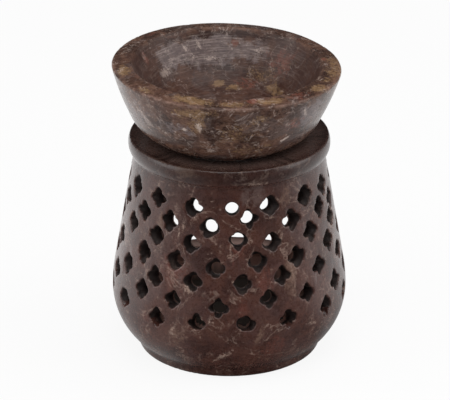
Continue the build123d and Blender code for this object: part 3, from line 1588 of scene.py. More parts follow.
    @classmethod
    def specks(cls, sheet: Tree, entry: Sockets) -> NodeSocket:
        """Fine specks that gather in clusters.

        Args:
            sheet: The group's tree.
            entry: The group's inputs.

        Returns:
            The mask.
        """
        place = entry["Vector"]
        fine = sheet.noise(place, sheet.waves(entry["Size"]), detail=6, rough=0.75, bend=0.1)
        spread = sheet.noise(place, sheet.waves(entry["Cluster"]), detail=4, rough=0.6, bend=0.8)
        gathered = sheet.times(sheet.sum("SUBTRACT", spread, NOISE_MIDDLE), cls.SPECK_GATHERING)
        low = sheet.sum("SUBTRACT", cls.SPECK_THRESHOLD, entry["Share"])
        high = sheet.sum("ADD", low, cls.SPECK_EDGE)
        return sheet.between(sheet.sum("ADD", fine, gathered), low, high)

    @classmethod
    def flecks(cls, sheet: Tree, entry: Sockets) -> NodeSocket:
        """Small single grains, of which a share of the cells has one.

        Args:
            sheet: The group's tree.
            entry: The group's inputs.

        Returns:
            The mask.
        """
        scale = sheet.waves(entry["Size"])
        inputs = {"Vector": entry["Vector"], "Scale": cls.FLECK_BEND_WAVES, "Detail": 2.0}
        bent = sheet.vector("ADD", entry["Vector"], sheet.add("TexNoise", inputs).outputs["Color"])
        cells = sheet.add("TexVoronoi", {"Vector": bent, "Scale": scale, "Randomness": 1.0})
        parts = sheet.add("SeparateColor", {0: cells.outputs["Color"]})
        chosen = sheet.sum("LESS_THAN", parts.outputs[0], entry["Share"])
        size = sheet.between(parts.outputs[1], 0.0, 1.0, *cls.FLECK_SIZES)
        near = sheet.between(cells.outputs["Distance"], size, sheet.times(size, cls.FLECK_CORE))
        return sheet.times(chosen, near)

    @classmethod
    def veins(cls, sheet: Tree, entry: Sockets) -> NodeSocket:
        """Fine crooked lines that come and go.

        Args:
            sheet: The group's tree.
            entry: The group's inputs.

        Returns:
            The mask.
        """
        scale = sheet.waves(entry["Size"])
        field = sheet.noise(entry["Vector"], scale, detail=5, rough=0.6, bend=1.2)
        off = sheet.sum("ABSOLUTE", sheet.sum("SUBTRACT", field, NOISE_MIDDLE))
        line = sheet.between(off, entry["Width"], 0.0)
        break_scale = sheet.times(scale, cls.VEIN_BREAK_WAVES)
        breaks = sheet.noise(entry["Vector"], break_scale, detail=3, rough=0.6)
        low = sheet.sum("SUBTRACT", cls.VEIN_THRESHOLD, entry["Share"])
        return sheet.times(line, sheet.between(breaks, low, sheet.sum("ADD", low, cls.VEIN_EDGE)))

    @staticmethod
    def lathe_space(sheet: Tree, entry: Sockets) -> NodeSocket:
        """Space where a pattern runs round the axis: stretched along the turn, fine across it.

        Args:
            sheet: The group's tree.
            entry: The group's inputs.

        Returns:
            The vector.
        """
        parts = sheet.add("SeparateXYZ", {0: entry["Vector"]})
        flat = sheet.add("CombineXYZ", {0: parts.outputs[0], 1: parts.outputs[1]}).outputs[0]
        way = sheet.stretched(sheet.vector("NORMALIZE", flat), entry["Stretch"])
        across = sheet.sum("ADD", sheet.length(flat), parts.outputs[2])
        up = sheet.add("CombineXYZ", {2: sheet.sum("DIVIDE", across, entry["Pitch"])}).outputs[0]
        return sheet.vector("ADD", way, up)

    @classmethod
    def scratches(cls, sheet: Tree, entry: Sockets) -> NodeSocket:
        """Fine short scratches in all directions.

        Args:
            sheet: The group's tree.
            entry: The group's inputs.

        Returns:
            The mask.
        """
        scale = sheet.waves(entry["Size"])
        low = sheet.sum("SUBTRACT", 1.0, entry["Share"])
        lines = []
        for turn in cls.SCRATCH_TURNS:
            inputs = {"Vector": entry["Vector"], "Rotation": turn, "Scale": cls.SCRATCH_STRETCH}
            turned = sheet.add("Mapping", inputs).outputs[0]
            grain = sheet.noise(turned, scale, detail=2, rough=0.5)
            lines.append(sheet.between(grain, low, sheet.sum("ADD", low, cls.SCRATCH_EDGE)))
        return reduce(partial(sheet.sum, "MAXIMUM"), lines)


@dataclass(frozen=True)
class Surface:
    """What a finish reads on its piece.

    Attributes:
        sheet: The material's tree.
        effects: The shared effects.
        place: Where on the piece, in millimetres.
        grain: Fine grain of the stone, from 0 to 1.
        inside: How deep it is in a hole or the well.
        chamber: Whether it is the candle chamber's wall.
        soot: How sooty it is.
        wear_and_glint: How far it stands out.
    """

    sheet: Tree
    effects: EffectGroups
    place: NodeSocket
    grain: NodeSocket
    inside: NodeSocket
    chamber: NodeSocket
    soot: NodeSocket
    wear_and_glint: NodeSocket

    def effect(self, effect: Effect, *values: Value) -> NodeSocket:
        """Place an effect over the piece."""
        return self.effects.place(self.sheet, effect, self.place, *values)


@dataclass(frozen=True)
class Soapstone:
    """Hand-polished soapstone: its colours, its mottling and its polish.

    A size is in millimetres. A pair of numbers is where a change over a noise or a mark starts
    and where it is complete.
    """

    name: str
    ground: Colour
    deep: Colour
    warm: Colour
    cool: Colour
    ash: Colour
    ochre: Colour
    rust: Colour
    pale: Colour
    dark: Colour
    # Painted shade: the dark that fills the holes, the mouth, the chamber and the bowl's well
    hole: Colour
    # Painted light: the chamber's wall made pale, standing in for light that comes in through the holes
    chamber: Colour
    soot: Colour
    # Pale edges and scratches: wear, with a painted highlight on the bowl's rim and the body's lip
    rubbed_and_glint: Colour
    shaded: Colour
    cloud_size: float = 16.0
    cloud_edge: float = 0.14
    small_cloud: float = 0.4
    small_cloud_edge: float = 0.12
    warm_strength: float = 0.6
    clast_size: float = 6.0
    clast_share: float = 0.3
    clast_bend: float = 1.6
    cool_clasts: tuple[float, float] = (0.72, 0.74)
    dark_clasts: tuple[float, float] = (0.3, 0.28)
    small_clast: float = 0.35
    small_clast_bend: float = 1.8
    warm_clasts: tuple[float, float] = (0.78, 0.8)
    streaks: tuple[float, float, float] = (1.0, 1.0, 1.0)
    streak_turn: tuple[float, float, float] = (0.15, 0.3, 0.0)
    grain_size: float = 1.2
    grain_range: tuple[float, float] = (0.3, 0.7)
    grain_tones: tuple[float, float] = (0.82, 1.22)
    speck_size: float = 0.9
    speck_cluster: float = 9.0
    speck_share: float = 0.16
    speck_strength: float = 0.45
    tan_size: float = 1.6
    tan_cluster: float = 13.0
    tan_share: float = 1.1
    tan_strength: float = 0.8
    fleck_size: float = 1.3
    fleck_share: float = 0.10
    fleck_strength: float = 0.35
    vein_size: float = 0.8
    vein_width: float = 0.018
    vein_share: float = 0.33
    vein_strength: float = 0.5
    rust_strength: float = 0.5
    mark_range: tuple[float, float] = (0.1, 0.7)
    mark_cover: float = 0.0
    hole_strength: float = 0.9
    shade_strength: float = 0.8
    lathe_stretch: float = 3.0
    lathe_pitch: float = 0.55
    lathe_range: tuple[float, float] = (0.5, 0.62)
    lathe_strength: float = 0.25
    lathe_off_ash: float = 0.25
    scratch_size: float = 0.5
    scratch_share: float = 0.3
    scratch_strength: float = 0.12
    # The pale edges are wear and a painted highlight; these set their breaks and strength
    rubbed_range: tuple[float, float] = (0.35, 0.6)
    least_rubbed: float = 0.2
    rubbed_and_glint_strength: float = 0.4
    ring_height: float = 0.5
    grain_height: float = 0.6
    scratch_depth: float = 0.25
    relief_height: float = 0.05
    relief: float = 0.1
    refraction: float = 1.5
    specular: float = 0.5
    polish: tuple[float, float] = (0.21, 0.37)
    hole_roughness: float = 0.7

    def material(self, effects: EffectGroups) -> Material:
        """Build the finish.

        Args:
            effects: The groups of the shared effects.

        Returns:
            The material.
        """
        made = bpy.data.materials.new(self.name)
        sheet = emptied_tree(made)
        place = sheet.add("TexCoord").outputs["Object"]
        place = sheet.add("Mapping", {"Vector": place, "Scale": (1 / MM, 1 / MM, 1 / MM)}).outputs[0]
        inputs = {"Vector": place, "Rotation": self.streak_turn, "Scale": self.streaks}
        streaked = sheet.add("Mapping", inputs).outputs[0]
        surface = Surface(
            sheet=sheet,
            effects=effects,
            place=place,
            grain=sheet.noise(streaked, 1 / self.grain_size, detail=7, rough=0.72, bend=0.4),
            inside=sheet.attribute("inside"),
            chamber=sheet.attribute("chamber"),
            soot=sheet.attribute("soot"),
            wear_and_glint=sheet.attribute("wear_and_glint"),
        )
        colour = self.mottled(surface)
        colour = self.marked(surface, colour)
        colour = self.grainy(surface, colour)
        lathe_space = surface.effect(Effect.LATHE_SPACE, self.lathe_stretch, self.lathe_pitch)
        rings = sheet.noise(lathe_space, 1.0, detail=5, rough=0.75)
        scratches = surface.effect(Effect.SCRATCHES, self.scratch_size, self.scratch_share)
        colour = self.wear_and_light(surface, colour, rings, scratches)
        rough = sheet.between(surface.grain, *self.grain_range, *self.polish)
        inputs = {
            "Base Color": colour,
            "Roughness": sheet.blend(surface.inside, rough, self.hole_roughness),
            "Normal": self.relieved(surface, rings, scratches),
            "IOR": self.refraction,
            "Specular IOR Level": self.specular,
        }
        shader = sheet.add("BsdfPrincipled", inputs).outputs[0]
        sheet.add("OutputMaterial", {"Surface": shader})
        return made

    def relieved(self, surface: Surface, rings: NodeSocket, scratches: NodeSocket) -> NodeSocket:
        """Fine relief of the lathe's rings, the grain and the scratches.

        Args:
            surface: What the finish reads.
            rings: Noise that runs round the axis.
            scratches: Mask of the scratches.

        Returns:
            The normal.
        """
        sheet = surface.sheet
        ring_height = sheet.times(rings, self.ring_height)
        height = sheet.sum("ADD", ring_height, sheet.times(surface.grain, self.grain_height))
        height = sheet.sum("SUBTRACT", height, sheet.times(scratches, self.scratch_depth))
        inputs = {"Height": height, "Distance": self.relief_height * MM, "Strength": self.relief}
        return sheet.add("Bump", inputs).outputs[0]

    def mottled(self, surface: Surface) -> NodeSocket:
        """The stone's own colour, in clouds and in broken pieces grown together.

        Args:
            surface: What the finish reads.

        Returns:
            The colour.
        """
        sheet = surface.sheet
        small_size = self.cloud_size * self.small_cloud
        clouds = surface.effect(Effect.MOTTLE, self.cloud_size, self.cloud_edge)
        warmth = surface.effect(Effect.MOTTLE, small_size, self.small_cloud_edge)
        tone = surface.effect(Effect.BRECCIA, self.clast_size, self.clast_bend)
        small_size = self.clast_size * self.small_clast
        small_tone = surface.effect(Effect.BRECCIA, small_size, self.small_clast_bend)
        colour = sheet.mix(clouds, self.deep.linear(), self.ground.linear())
        colour = sheet.mix(sheet.times(warmth, self.warm_strength), colour, self.warm.linear())
        for clasts, where, shade in (
            (tone, self.cool_clasts, self.cool),
            (tone, self.dark_clasts, self.dark),
            (small_tone, self.warm_clasts, self.warm),
        ):
            shown = sheet.times(sheet.between(clasts, *where), self.clast_share)
            colour = sheet.mix(shown, colour, shade.linear())
        return colour

    def marked(self, surface: Surface, colour: NodeSocket) -> NodeSocket:
        """Add the painted marks.

        Args:
            surface: What the finish reads.
            colour: Colour so far.

        Returns:
            The colour with them.
        """
        sheet = surface.sheet
        for tint, shade, size, texture, strength in (
            (Tint.DARK, self.dark, 2.4, 2.0, 0.8),
            (Tint.ASH, self.ash, 3.0, 1.5, 0.8),
            (Tint.RUST, self.rust, 1.7, 2.6, self.rust_strength),
            (Tint.OCHRE, self.ochre, 1.9, 3.0, 0.75),
            (Tint.PALE, self.pale, 1.3, 3.0, 0.8),
        ):
            mask = surface.effect(Effect.PATCH, sheet.attribute(tint.value), size, texture)
            colour = sheet.mix(sheet.times(mask, strength), colour, shade.linear())
        return colour

    def grainy(self, surface: Surface, colour: NodeSocket) -> NodeSocket:
        """Add the specks, the veins, the single grains and the fine grain.

        Args:
            surface: What the finish reads.
            colour: Colour so far.

        Returns:
            The colour with them.
        """
        sheet = surface.sheet
        tan_share = self.speck_share * self.tan_share
        tan_strength = self.speck_strength * self.tan_strength
        vein_size = self.cloud_size * self.vein_size
        specks = surface.effect(Effect.SPECKS, self.speck_size, self.speck_cluster, self.speck_share)
        tan = surface.effect(Effect.SPECKS, self.tan_size, self.tan_cluster, tan_share)
        veins = surface.effect(Effect.VEINS, vein_size, self.vein_width, self.vein_share)
        flecks = surface.effect(Effect.FLECKS, self.fleck_size, self.fleck_share)
        for mask, strength, tint in (
            (specks, self.speck_strength, self.pale),
            (tan, tan_strength, self.ochre),
            (veins, self.vein_strength, self.pale),
            (flecks, self.fleck_strength, self.pale),
        ):
            colour = sheet.mix(sheet.times(mask, strength), colour, tint.linear())
        shade = sheet.between(surface.grain, *self.grain_range, *self.grain_tones)
        grey = sheet.add("CombineColor", {0: shade, 1: shade, 2: shade}).outputs[0]
        return sheet.mix(1.0, colour, grey, "MULTIPLY")

    def wear_and_light(
        self, surface: Surface, colour: NodeSocket, rings: NodeSocket, scratches: NodeSocket
    ) -> NodeSocket:
        """Add painted shade in the hollows and under the bowl, painted light on the chamber's wall, soot,
        the lathe's rings, and pale edges that are wear and painted highlight.

        Args:
            surface: What the finish reads.
            colour: Colour so far.
            rings: Noise that runs round the axis.
            scratches: Mask of the scratches.

        Returns:
            The finished colour.
        """
        sheet = surface.sheet
        ash, ochre, rust = (sheet.attribute(tint.value) for tint in (Tint.ASH, Tint.OCHRE, Tint.RUST))
        marked = sheet.sum("MAXIMUM", ash, sheet.sum("MAXIMUM", ochre, rust))
        bare = sheet.between(marked, *self.mark_range, 1.0, 1 - self.mark_cover)
        least_lines = self.lathe_strength * self.lathe_off_ash
        lines = sheet.between(ash, *self.mark_range, least_lines, self.lathe_strength)
        turned = sheet.times(sheet.between(rings, *self.lathe_range), surface.inside)
        outside = sheet.sum("SUBTRACT", 1.0, surface.inside)
        rubbed_and_glint = sheet.between(surface.grain, *self.rubbed_range, self.least_rubbed, 1.0)
        edge = sheet.times(sheet.times(surface.wear_and_glint, rubbed_and_glint), outside)
        # In order: painted shade in the holes, the mouth and the well; painted light on the chamber's
        # wall; soot; painted shade on the seat, the collar, the neck and the well's walls; the lathe's
        # rings; pale edges that are wear and painted highlight; scratches.
        for mask, strength, tint in (
            (sheet.times(surface.inside, bare), self.hole_strength, self.hole),
            (surface.chamber, self.hole_strength, self.chamber),
            (surface.soot, self.hole_strength, self.soot),
            (sheet.times(sheet.attribute("shade"), bare), self.shade_strength, self.shaded),
            (turned, lines, self.pale),
            (edge, self.rubbed_and_glint_strength, self.rubbed_and_glint),
            (scratches, self.scratch_strength, self.rubbed_and_glint),
        ):
            colour = sheet.mix(sheet.times(mask, strength), colour, tint.linear())
        return colour


BODY_STONE = Soapstone(
    name="body_soapstone",
    ground=Colour(76, 47, 41),
    deep=Colour(66, 41, 36),
    warm=Colour(86, 54, 44),
    cool=Colour(74, 54, 52),
    ash=Colour(96, 76, 71),
    ochre=Colour(110, 84, 71),
    rust=Colour(106, 60, 50),
    pale=Colour(156, 132, 119),
    dark=Colour(42, 26, 24),
    # Painted shade in the holes, the mouth and the chamber
    hole=Colour(27, 18, 17),
    # Painted light on the chamber's wall
    chamber=Colour(205, 168, 156),
    soot=Colour(70, 72, 66),
    rubbed_and_glint=Colour(128, 108, 101),
    shaded=Colour(24, 16, 15),
)

BOWL_STONE = Soapstone(
    name="bowl_soapstone",
    ground=Colour(90, 65, 56),
    deep=Colour(68, 48, 42),
    warm=Colour(104, 76, 62),
    cool=Colour(84, 73, 71),
    ash=Colour(112, 99, 98),
    ochre=Colour(138, 109, 79),
    rust=Colour(126, 74, 61),
    pale=Colour(190, 172, 162),
    dark=Colour(44, 31, 28),
    # Painted shade in the well
    hole=Colour(60, 33, 27),
    chamber=Colour(56, 38, 34),
    soot=Colour(56, 38, 34),
    rubbed_and_glint=Colour(186, 154, 140),
    shaded=Colour(58, 34, 28),
    cloud_size=9.0,
    clast_size=7.0,
    clast_share=0.5,
    streaks=(0.7, 0.7, 1.4),
    lathe_pitch=0.8,
    grain_tones=(0.72, 1.3),
    speck_share=0.12,
    speck_strength=0.55,
    fleck_share=0.08,
    hole_strength=0.4,
    lathe_strength=0.36,
    shade_strength=0.4,
    mark_cover=0.75,
    rubbed_and_glint_strength=0.32,
    rust_strength=0.6,
    relief=0.16,
    specular=0.22,
    hole_roughness=0.34,
)


# Marks as listed from what the photograph shows, and guessed on what it doesn't

BODY_MARKS = (
    Mark(Tint.OCHRE, -25.8, 33.4, 74.2, 4.5, 2.4, 0.9),
    Mark(Tint.OCHRE, -35.0, 28.0, 75.2, 3.0, 1.5, 0.5),
    Mark(Tint.PALE, 15.2, 33.5, 70.8, 5.0, 0.9, 0.7, 5),
    Mark(Tint.ASH, 13.2, 32.2, 66.8, 6.5, 4.0, 0.75),
    Mark(Tint.OCHRE, 34.3, 32.6, 64.9, 2.6, 4.5, 0.7, 20),
    Mark(Tint.PALE, -45.8, 32.3, 66.3, 1.4, 1.2, 0.7),
    Mark(Tint.OCHRE, -41.8, 34.2, 55.0, 1.8, 3.2, 0.8),
    Mark(Tint.PALE, -26.0, 34.2, 54.6, 1.0, 6.5, 0.7, 42),
    Mark(Tint.PALE, -1.0, 35.0, 49.9, 3.2, 0.8, 0.7),
    Mark(Tint.RUST, 4.6, 35.3, 48.1, 4.0, 2.2, 0.7),
    Mark(Tint.RUST, -29.7, 36.7, 39.1, 7.0, 7.5, 0.6),
    Mark(Tint.ASH, -27.0, 36.7, 41.0, 5.5, 6.0, 0.55),
    Mark(Tint.PALE, -21.4, 37.4, 34.9, 2.2, 2.6, 0.6),
    Mark(Tint.PALE, 1.3, 36.9, 38.1, 1.6, 0.6, 0.6),
    Mark(Tint.RUST, 17.9, 37.0, 37.4, 3.4, 5.5, 0.9),
    Mark(Tint.OCHRE, 33.6, 36.4, 40.0, 2.6, 11.0, 0.8, 8),
    Mark(Tint.PALE, 34.6, 37.0, 36.0, 1.2, 7.0, 0.5, 8),
    Mark(Tint.RUST, 40.2, 37.3, 35.3, 1.4, 2.2, 0.8),
    Mark(Tint.OCHRE, -26.4, 39.1, 17.5, 3.6, 5.5, 0.5, 15),
    Mark(Tint.PALE, -28.0, 39.2, 20.5, 1.0, 5.0, 0.6, 20),
    Mark(Tint.PALE, -47.0, 33.0, 6.0, 0.8, 4.0, 0.7, -35),
    Mark(Tint.OCHRE, 14.6, 39.4, 19.2, 1.2, 6.0, 0.7, 18),
    Mark(Tint.PALE, -2.5, 37.6, 11.3, 0.7, 6.0, 0.8, 48),
    Mark(Tint.RUST, 5.9, 38.3, 29.3, 2.8, 3.2, 0.8),
    Mark(Tint.RUST, 22.3, 38.3, 13.4, 6.0, 5.0, 0.6),
    Mark(Tint.PALE, 45.2, 39.3, 18.6, 2.6, 0.5, 0.8, 12),
    Mark(Tint.RUST, -9.5, 37.3, 35.8, 1.6, 1.2, 0.8),
    Mark(Tint.PALE, 10.6, 34.7, 51.7, 1.6, 1.4, 0.5),
    Mark(Tint.PALE, 29.0, 34.8, 50.9, 0.7, 3.4, 0.6, 24),
    Mark(Tint.RUST, -45.4, 39.4, 20.8, 2.0, 2.0, 0.8),
    Mark(Tint.OCHRE, -39.7, 35.7, 45.4, 1.2, 2.4, 0.6),
    Mark(Tint.PALE, -9.1, 39.1, 24.5, 1.2, 1.0, 0.6),
    # Guessed, on the back
    Mark(Tint.OCHRE, 128, 36.0, 44.0, 6.0, 4.0, 0.6, 30),
    Mark(Tint.PALE, 100, 38.0, 30.0, 0.9, 9.0, 0.6, 35),
    Mark(Tint.ASH, -120, 36.5, 38.0, 8.0, 5.0, 0.5),
    Mark(Tint.PALE, -150, 35.0, 55.0, 6.0, 0.8, 0.6, 10),
    Mark(Tint.RUST, 165, 38.5, 13.0, 7.0, 4.0, 0.6),
    Mark(Tint.OCHRE, -95, 39.0, 16.0, 4.5, 3.0, 0.5),
)

BOWL_MARKS = (
    Mark(Tint.RUST, -134.5, 36.2, 100.5, 3.0, 1.6, 0.8),
    Mark(Tint.OCHRE, -76.3, 35.7, 100.7, 4.5, 2.6, 0.9),
    Mark(Tint.OCHRE, -47.5, 36.4, 100.5, 3.6, 1.6, 0.8),
    Mark(Tint.OCHRE, -20.3, 34.4, 100.2, 8.0, 2.8, 1.0),
    Mark(Tint.RUST, 12.8, 32.9, 99.7, 2.2, 1.6, 1.0),
    Mark(Tint.OCHRE, 23.1, 33.9, 99.5, 6.5, 2.2, 0.9),
    Mark(Tint.OCHRE, 56.2, 34.5, 99.1, 5.0, 2.4, 0.8),
    Mark(Tint.OCHRE, 2.0, 34.8, 99.8, 7.0, 2.0, 0.6),
    Mark(Tint.RUST, 40.0, 34.0, 99.4, 6.0, 2.4, 0.55),
    Mark(Tint.OCHRE, 88.0, 34.8, 99.0, 16.0, 3.0, 0.62),
    Mark(Tint.DARK, 180.0, 35.0, 99.9, 26.0, 3.2, 0.5),
    # Painted shade: a dark band on the well's wall just under the rim's inner edge at the back
    Mark(Tint.DARK, -175.0, 30.3, 98.9, 30.0, 1.7, 1.0),
    Mark(Tint.RUST, 100.2, 31.8, 99.2, 1.2, 1.0, 1.0),
    Mark(Tint.PALE, -175.9, 34.2, 99.9, 5.0, 1.2, 0.35),
    Mark(Tint.ASH, 170.0, 35.0, 99.9, 18.0, 1.6, 0.3),
    Mark(Tint.RUST, 141.5, 32.8, 99.4, 6.0, 1.2, 0.5),
    Mark(Tint.ASH, -163.0, 28.0, 94.0, 19.0, 6.0, 1.0),
    Mark(Tint.ASH, -136.0, 28.5, 94.5, 7.0, 5.0, 1.0),
    Mark(Tint.ASH, 168.0, 28.0, 94.0, 9.0, 5.0, 0.8),
    Mark(Tint.PALE, -124.5, 26.5, 91.3, 2.4, 1.8, 0.8),
    Mark(Tint.PALE, -152.3, 27.9, 94.1, 0.9, 5.0, 0.5, 30),
    Mark(Tint.PALE, -166.3, 26.6, 92.0, 3.5, 1.0, 0.45),
    Mark(Tint.PALE, -159.2, 29.2, 96.4, 0.7, 2.4, 0.6, 20),
    Mark(Tint.PALE, 159.4, 27.6, 94.2, 2.0, 1.8, 0.4),
    Mark(Tint.RUST, 176.6, 29.0, 96.3, 1.4, 1.2, 0.8),
    Mark(Tint.DARK, -176.2, 24.6, 88.9, 8.0, 1.4, 0.7),
    Mark(Tint.OCHRE, -169.5, 20.2, 84.9, 2.4, 1.8, 0.9),
    Mark(Tint.OCHRE, 175.4, 18.2, 84.0, 3.0, 1.8, 0.9),
    Mark(Tint.OCHRE, 133.2, 20.3, 85.1, 5.0, 2.6, 0.9),
    Mark(Tint.RUST, 165.0, 20.2, 85.0, 5.5, 3.6, 0.5),
    Mark(Tint.RUST, 139.0, 26.5, 92.6, 7.5, 6.0, 0.65),
    Mark(Tint.OCHRE, 150.0, 23.0, 88.0, 8.0, 4.0, 0.45),
    # Painted shade: a dark band just under the rim's inner edge on the left
    Mark(Tint.DARK, -97.7, 30.6, 98.0, 9.0, 3.0, 0.6),
    Mark(Tint.RUST, -112.7, 30.2, 97.4, 1.6, 3.0, 0.7),
    Mark(Tint.OCHRE, -17.2, 35.5, 92.3, 3.4, 4.4, 0.55),
    Mark(Tint.PALE, -16.0, 35.4, 91.6, 1.4, 2.6, 0.6),
    Mark(Tint.PALE, -24.6, 34.7, 90.0, 1.1, 0.9, 1.0),
    Mark(Tint.OCHRE, -17.8, 37.2, 96.8, 8.0, 2.8, 0.7),
    Mark(Tint.PALE, 34.2, 31.6, 83.7, 2.2, 0.6, 0.9, -30),
    Mark(Tint.RUST, 37.8, 33.7, 89.3, 4.5, 4.0, 0.45),
    Mark(Tint.ASH, 49.0, 35.3, 92.0, 8.0, 6.0, 0.9),
    Mark(Tint.PALE, 44.0, 35.3, 93.3, 0.7, 3.6, 0.6, -25),
    Mark(Tint.ASH, -57.0, 35.0, 90.5, 10.0, 6.5, 0.62),
    Mark(Tint.DARK, -37.0, 35.4, 92.0, 6.0, 4.0, 0.5),
    Mark(Tint.PALE, -50.5, 34.9, 90.0, 1.6, 6.0, 0.45, -38),
    Mark(Tint.PALE, -60.0, 35.5, 92.0, 0.9, 5.0, 0.45, -40),
    Mark(Tint.PALE, -38.0, 33.8, 86.5, 0.8, 4.5, 0.45, -55),
    Mark(Tint.ASH, -30.0, 35.0, 89.5, 7.0, 4.0, 0.55),
    Mark(Tint.OCHRE, 3.9, 34.1, 89.1, 7.0, 5.0, 0.4),
    Mark(Tint.OCHRE, 16.3, 36.1, 94.8, 6.0, 2.6, 0.4),
    Mark(Tint.PALE, -10.4, 31.3, 82.0, 2.0, 1.2, 0.6),
    Mark(Tint.OCHRE, 12.0, 31.0, 82.0, 8.0, 3.0, 0.4),
    Mark(Tint.DARK, -4.3, 36.1, 94.3, 3.0, 1.6, 0.5),
    Mark(Tint.DARK, 29.4, 36.8, 96.4, 6.0, 2.4, 0.45),
    # Guessed, on the back and the underside
    Mark(Tint.OCHRE, 120, 35.5, 91.0, 9.0, 5.0, 0.6),
    Mark(Tint.ASH, 170, 35.5, 90.0, 12.0, 5.0, 0.6),
    Mark(Tint.OCHRE, -120, 35.5, 92.0, 7.0, 4.0, 0.6),
    Mark(Tint.PALE, 150, 35.0, 90.0, 0.9, 7.0, 0.6, 30),
    Mark(Tint.RUST, -150, 33.5, 87.0, 5.0, 3.0, 0.6),
    Mark(Tint.OCHRE, 0, 8.0, 83.0, 9.0, 6.0, 0.5),
    Mark(Tint.RUST, 60, 12.0, 83.0, 10.0, 7.0, 0.5),
    Mark(Tint.OCHRE, 100, 10.0, 83.0, 8.0, 5.0, 0.45),
)

# Chips in the foot's edge and the belly, as seen, and one guessed in the foot's edge at the back
CHIPS = (
    Chip(-54.5, 31.6, 1.6, (1.6, 0.9, 0.7), 3),
    Chip(57.0, 39.6, 20.0, (1.5, 0.5, 0.9), 11),
    Chip(148.0, 31.2, 0.8, (1.3, 0.8, 0.8), 5),
)


# Stage


@dataclass(frozen=True)
class Softbox:
    """A soft lamp, aimed at the burner.

    Attributes:
        name: Name of the lamp.
        azimuth: Angle from the front, in degrees.
        elevation: Angle above the level, in degrees.
        distance: Distance from the burner, in metres.
        width: Width of its face, in metres.
        height: Height of its face, in metres.
        level: How light it makes a white sheet that faces it, from 0 to 1.
    """

    name: str
    azimuth: float
    elevation: float
    distance: float
    width: float
    height: float
    level: float

    def light(self, aim: Vector) -> None:
        """Put the lamp in the scene.

        Args:
            aim: Point that it faces.
        """
        lamp = bpy.data.lights.new(self.name, "AREA")
        lamp.shape = "RECTANGLE"
        lamp.size = self.width
        lamp.size_y = self.height
        lamp.energy = self.level * pi * pi * self.distance**2
        made = bpy.data.objects.new(self.name, lamp)
        way = round_the_axis(self.azimuth, cos(radians(self.elevation)), sin(radians(self.elevation)))
        made.location = aim + way * self.distance
        made.rotation_euler = way.to_track_quat("Z", "Y").to_euler()
        bpy.context.scene.collection.objects.link(made)


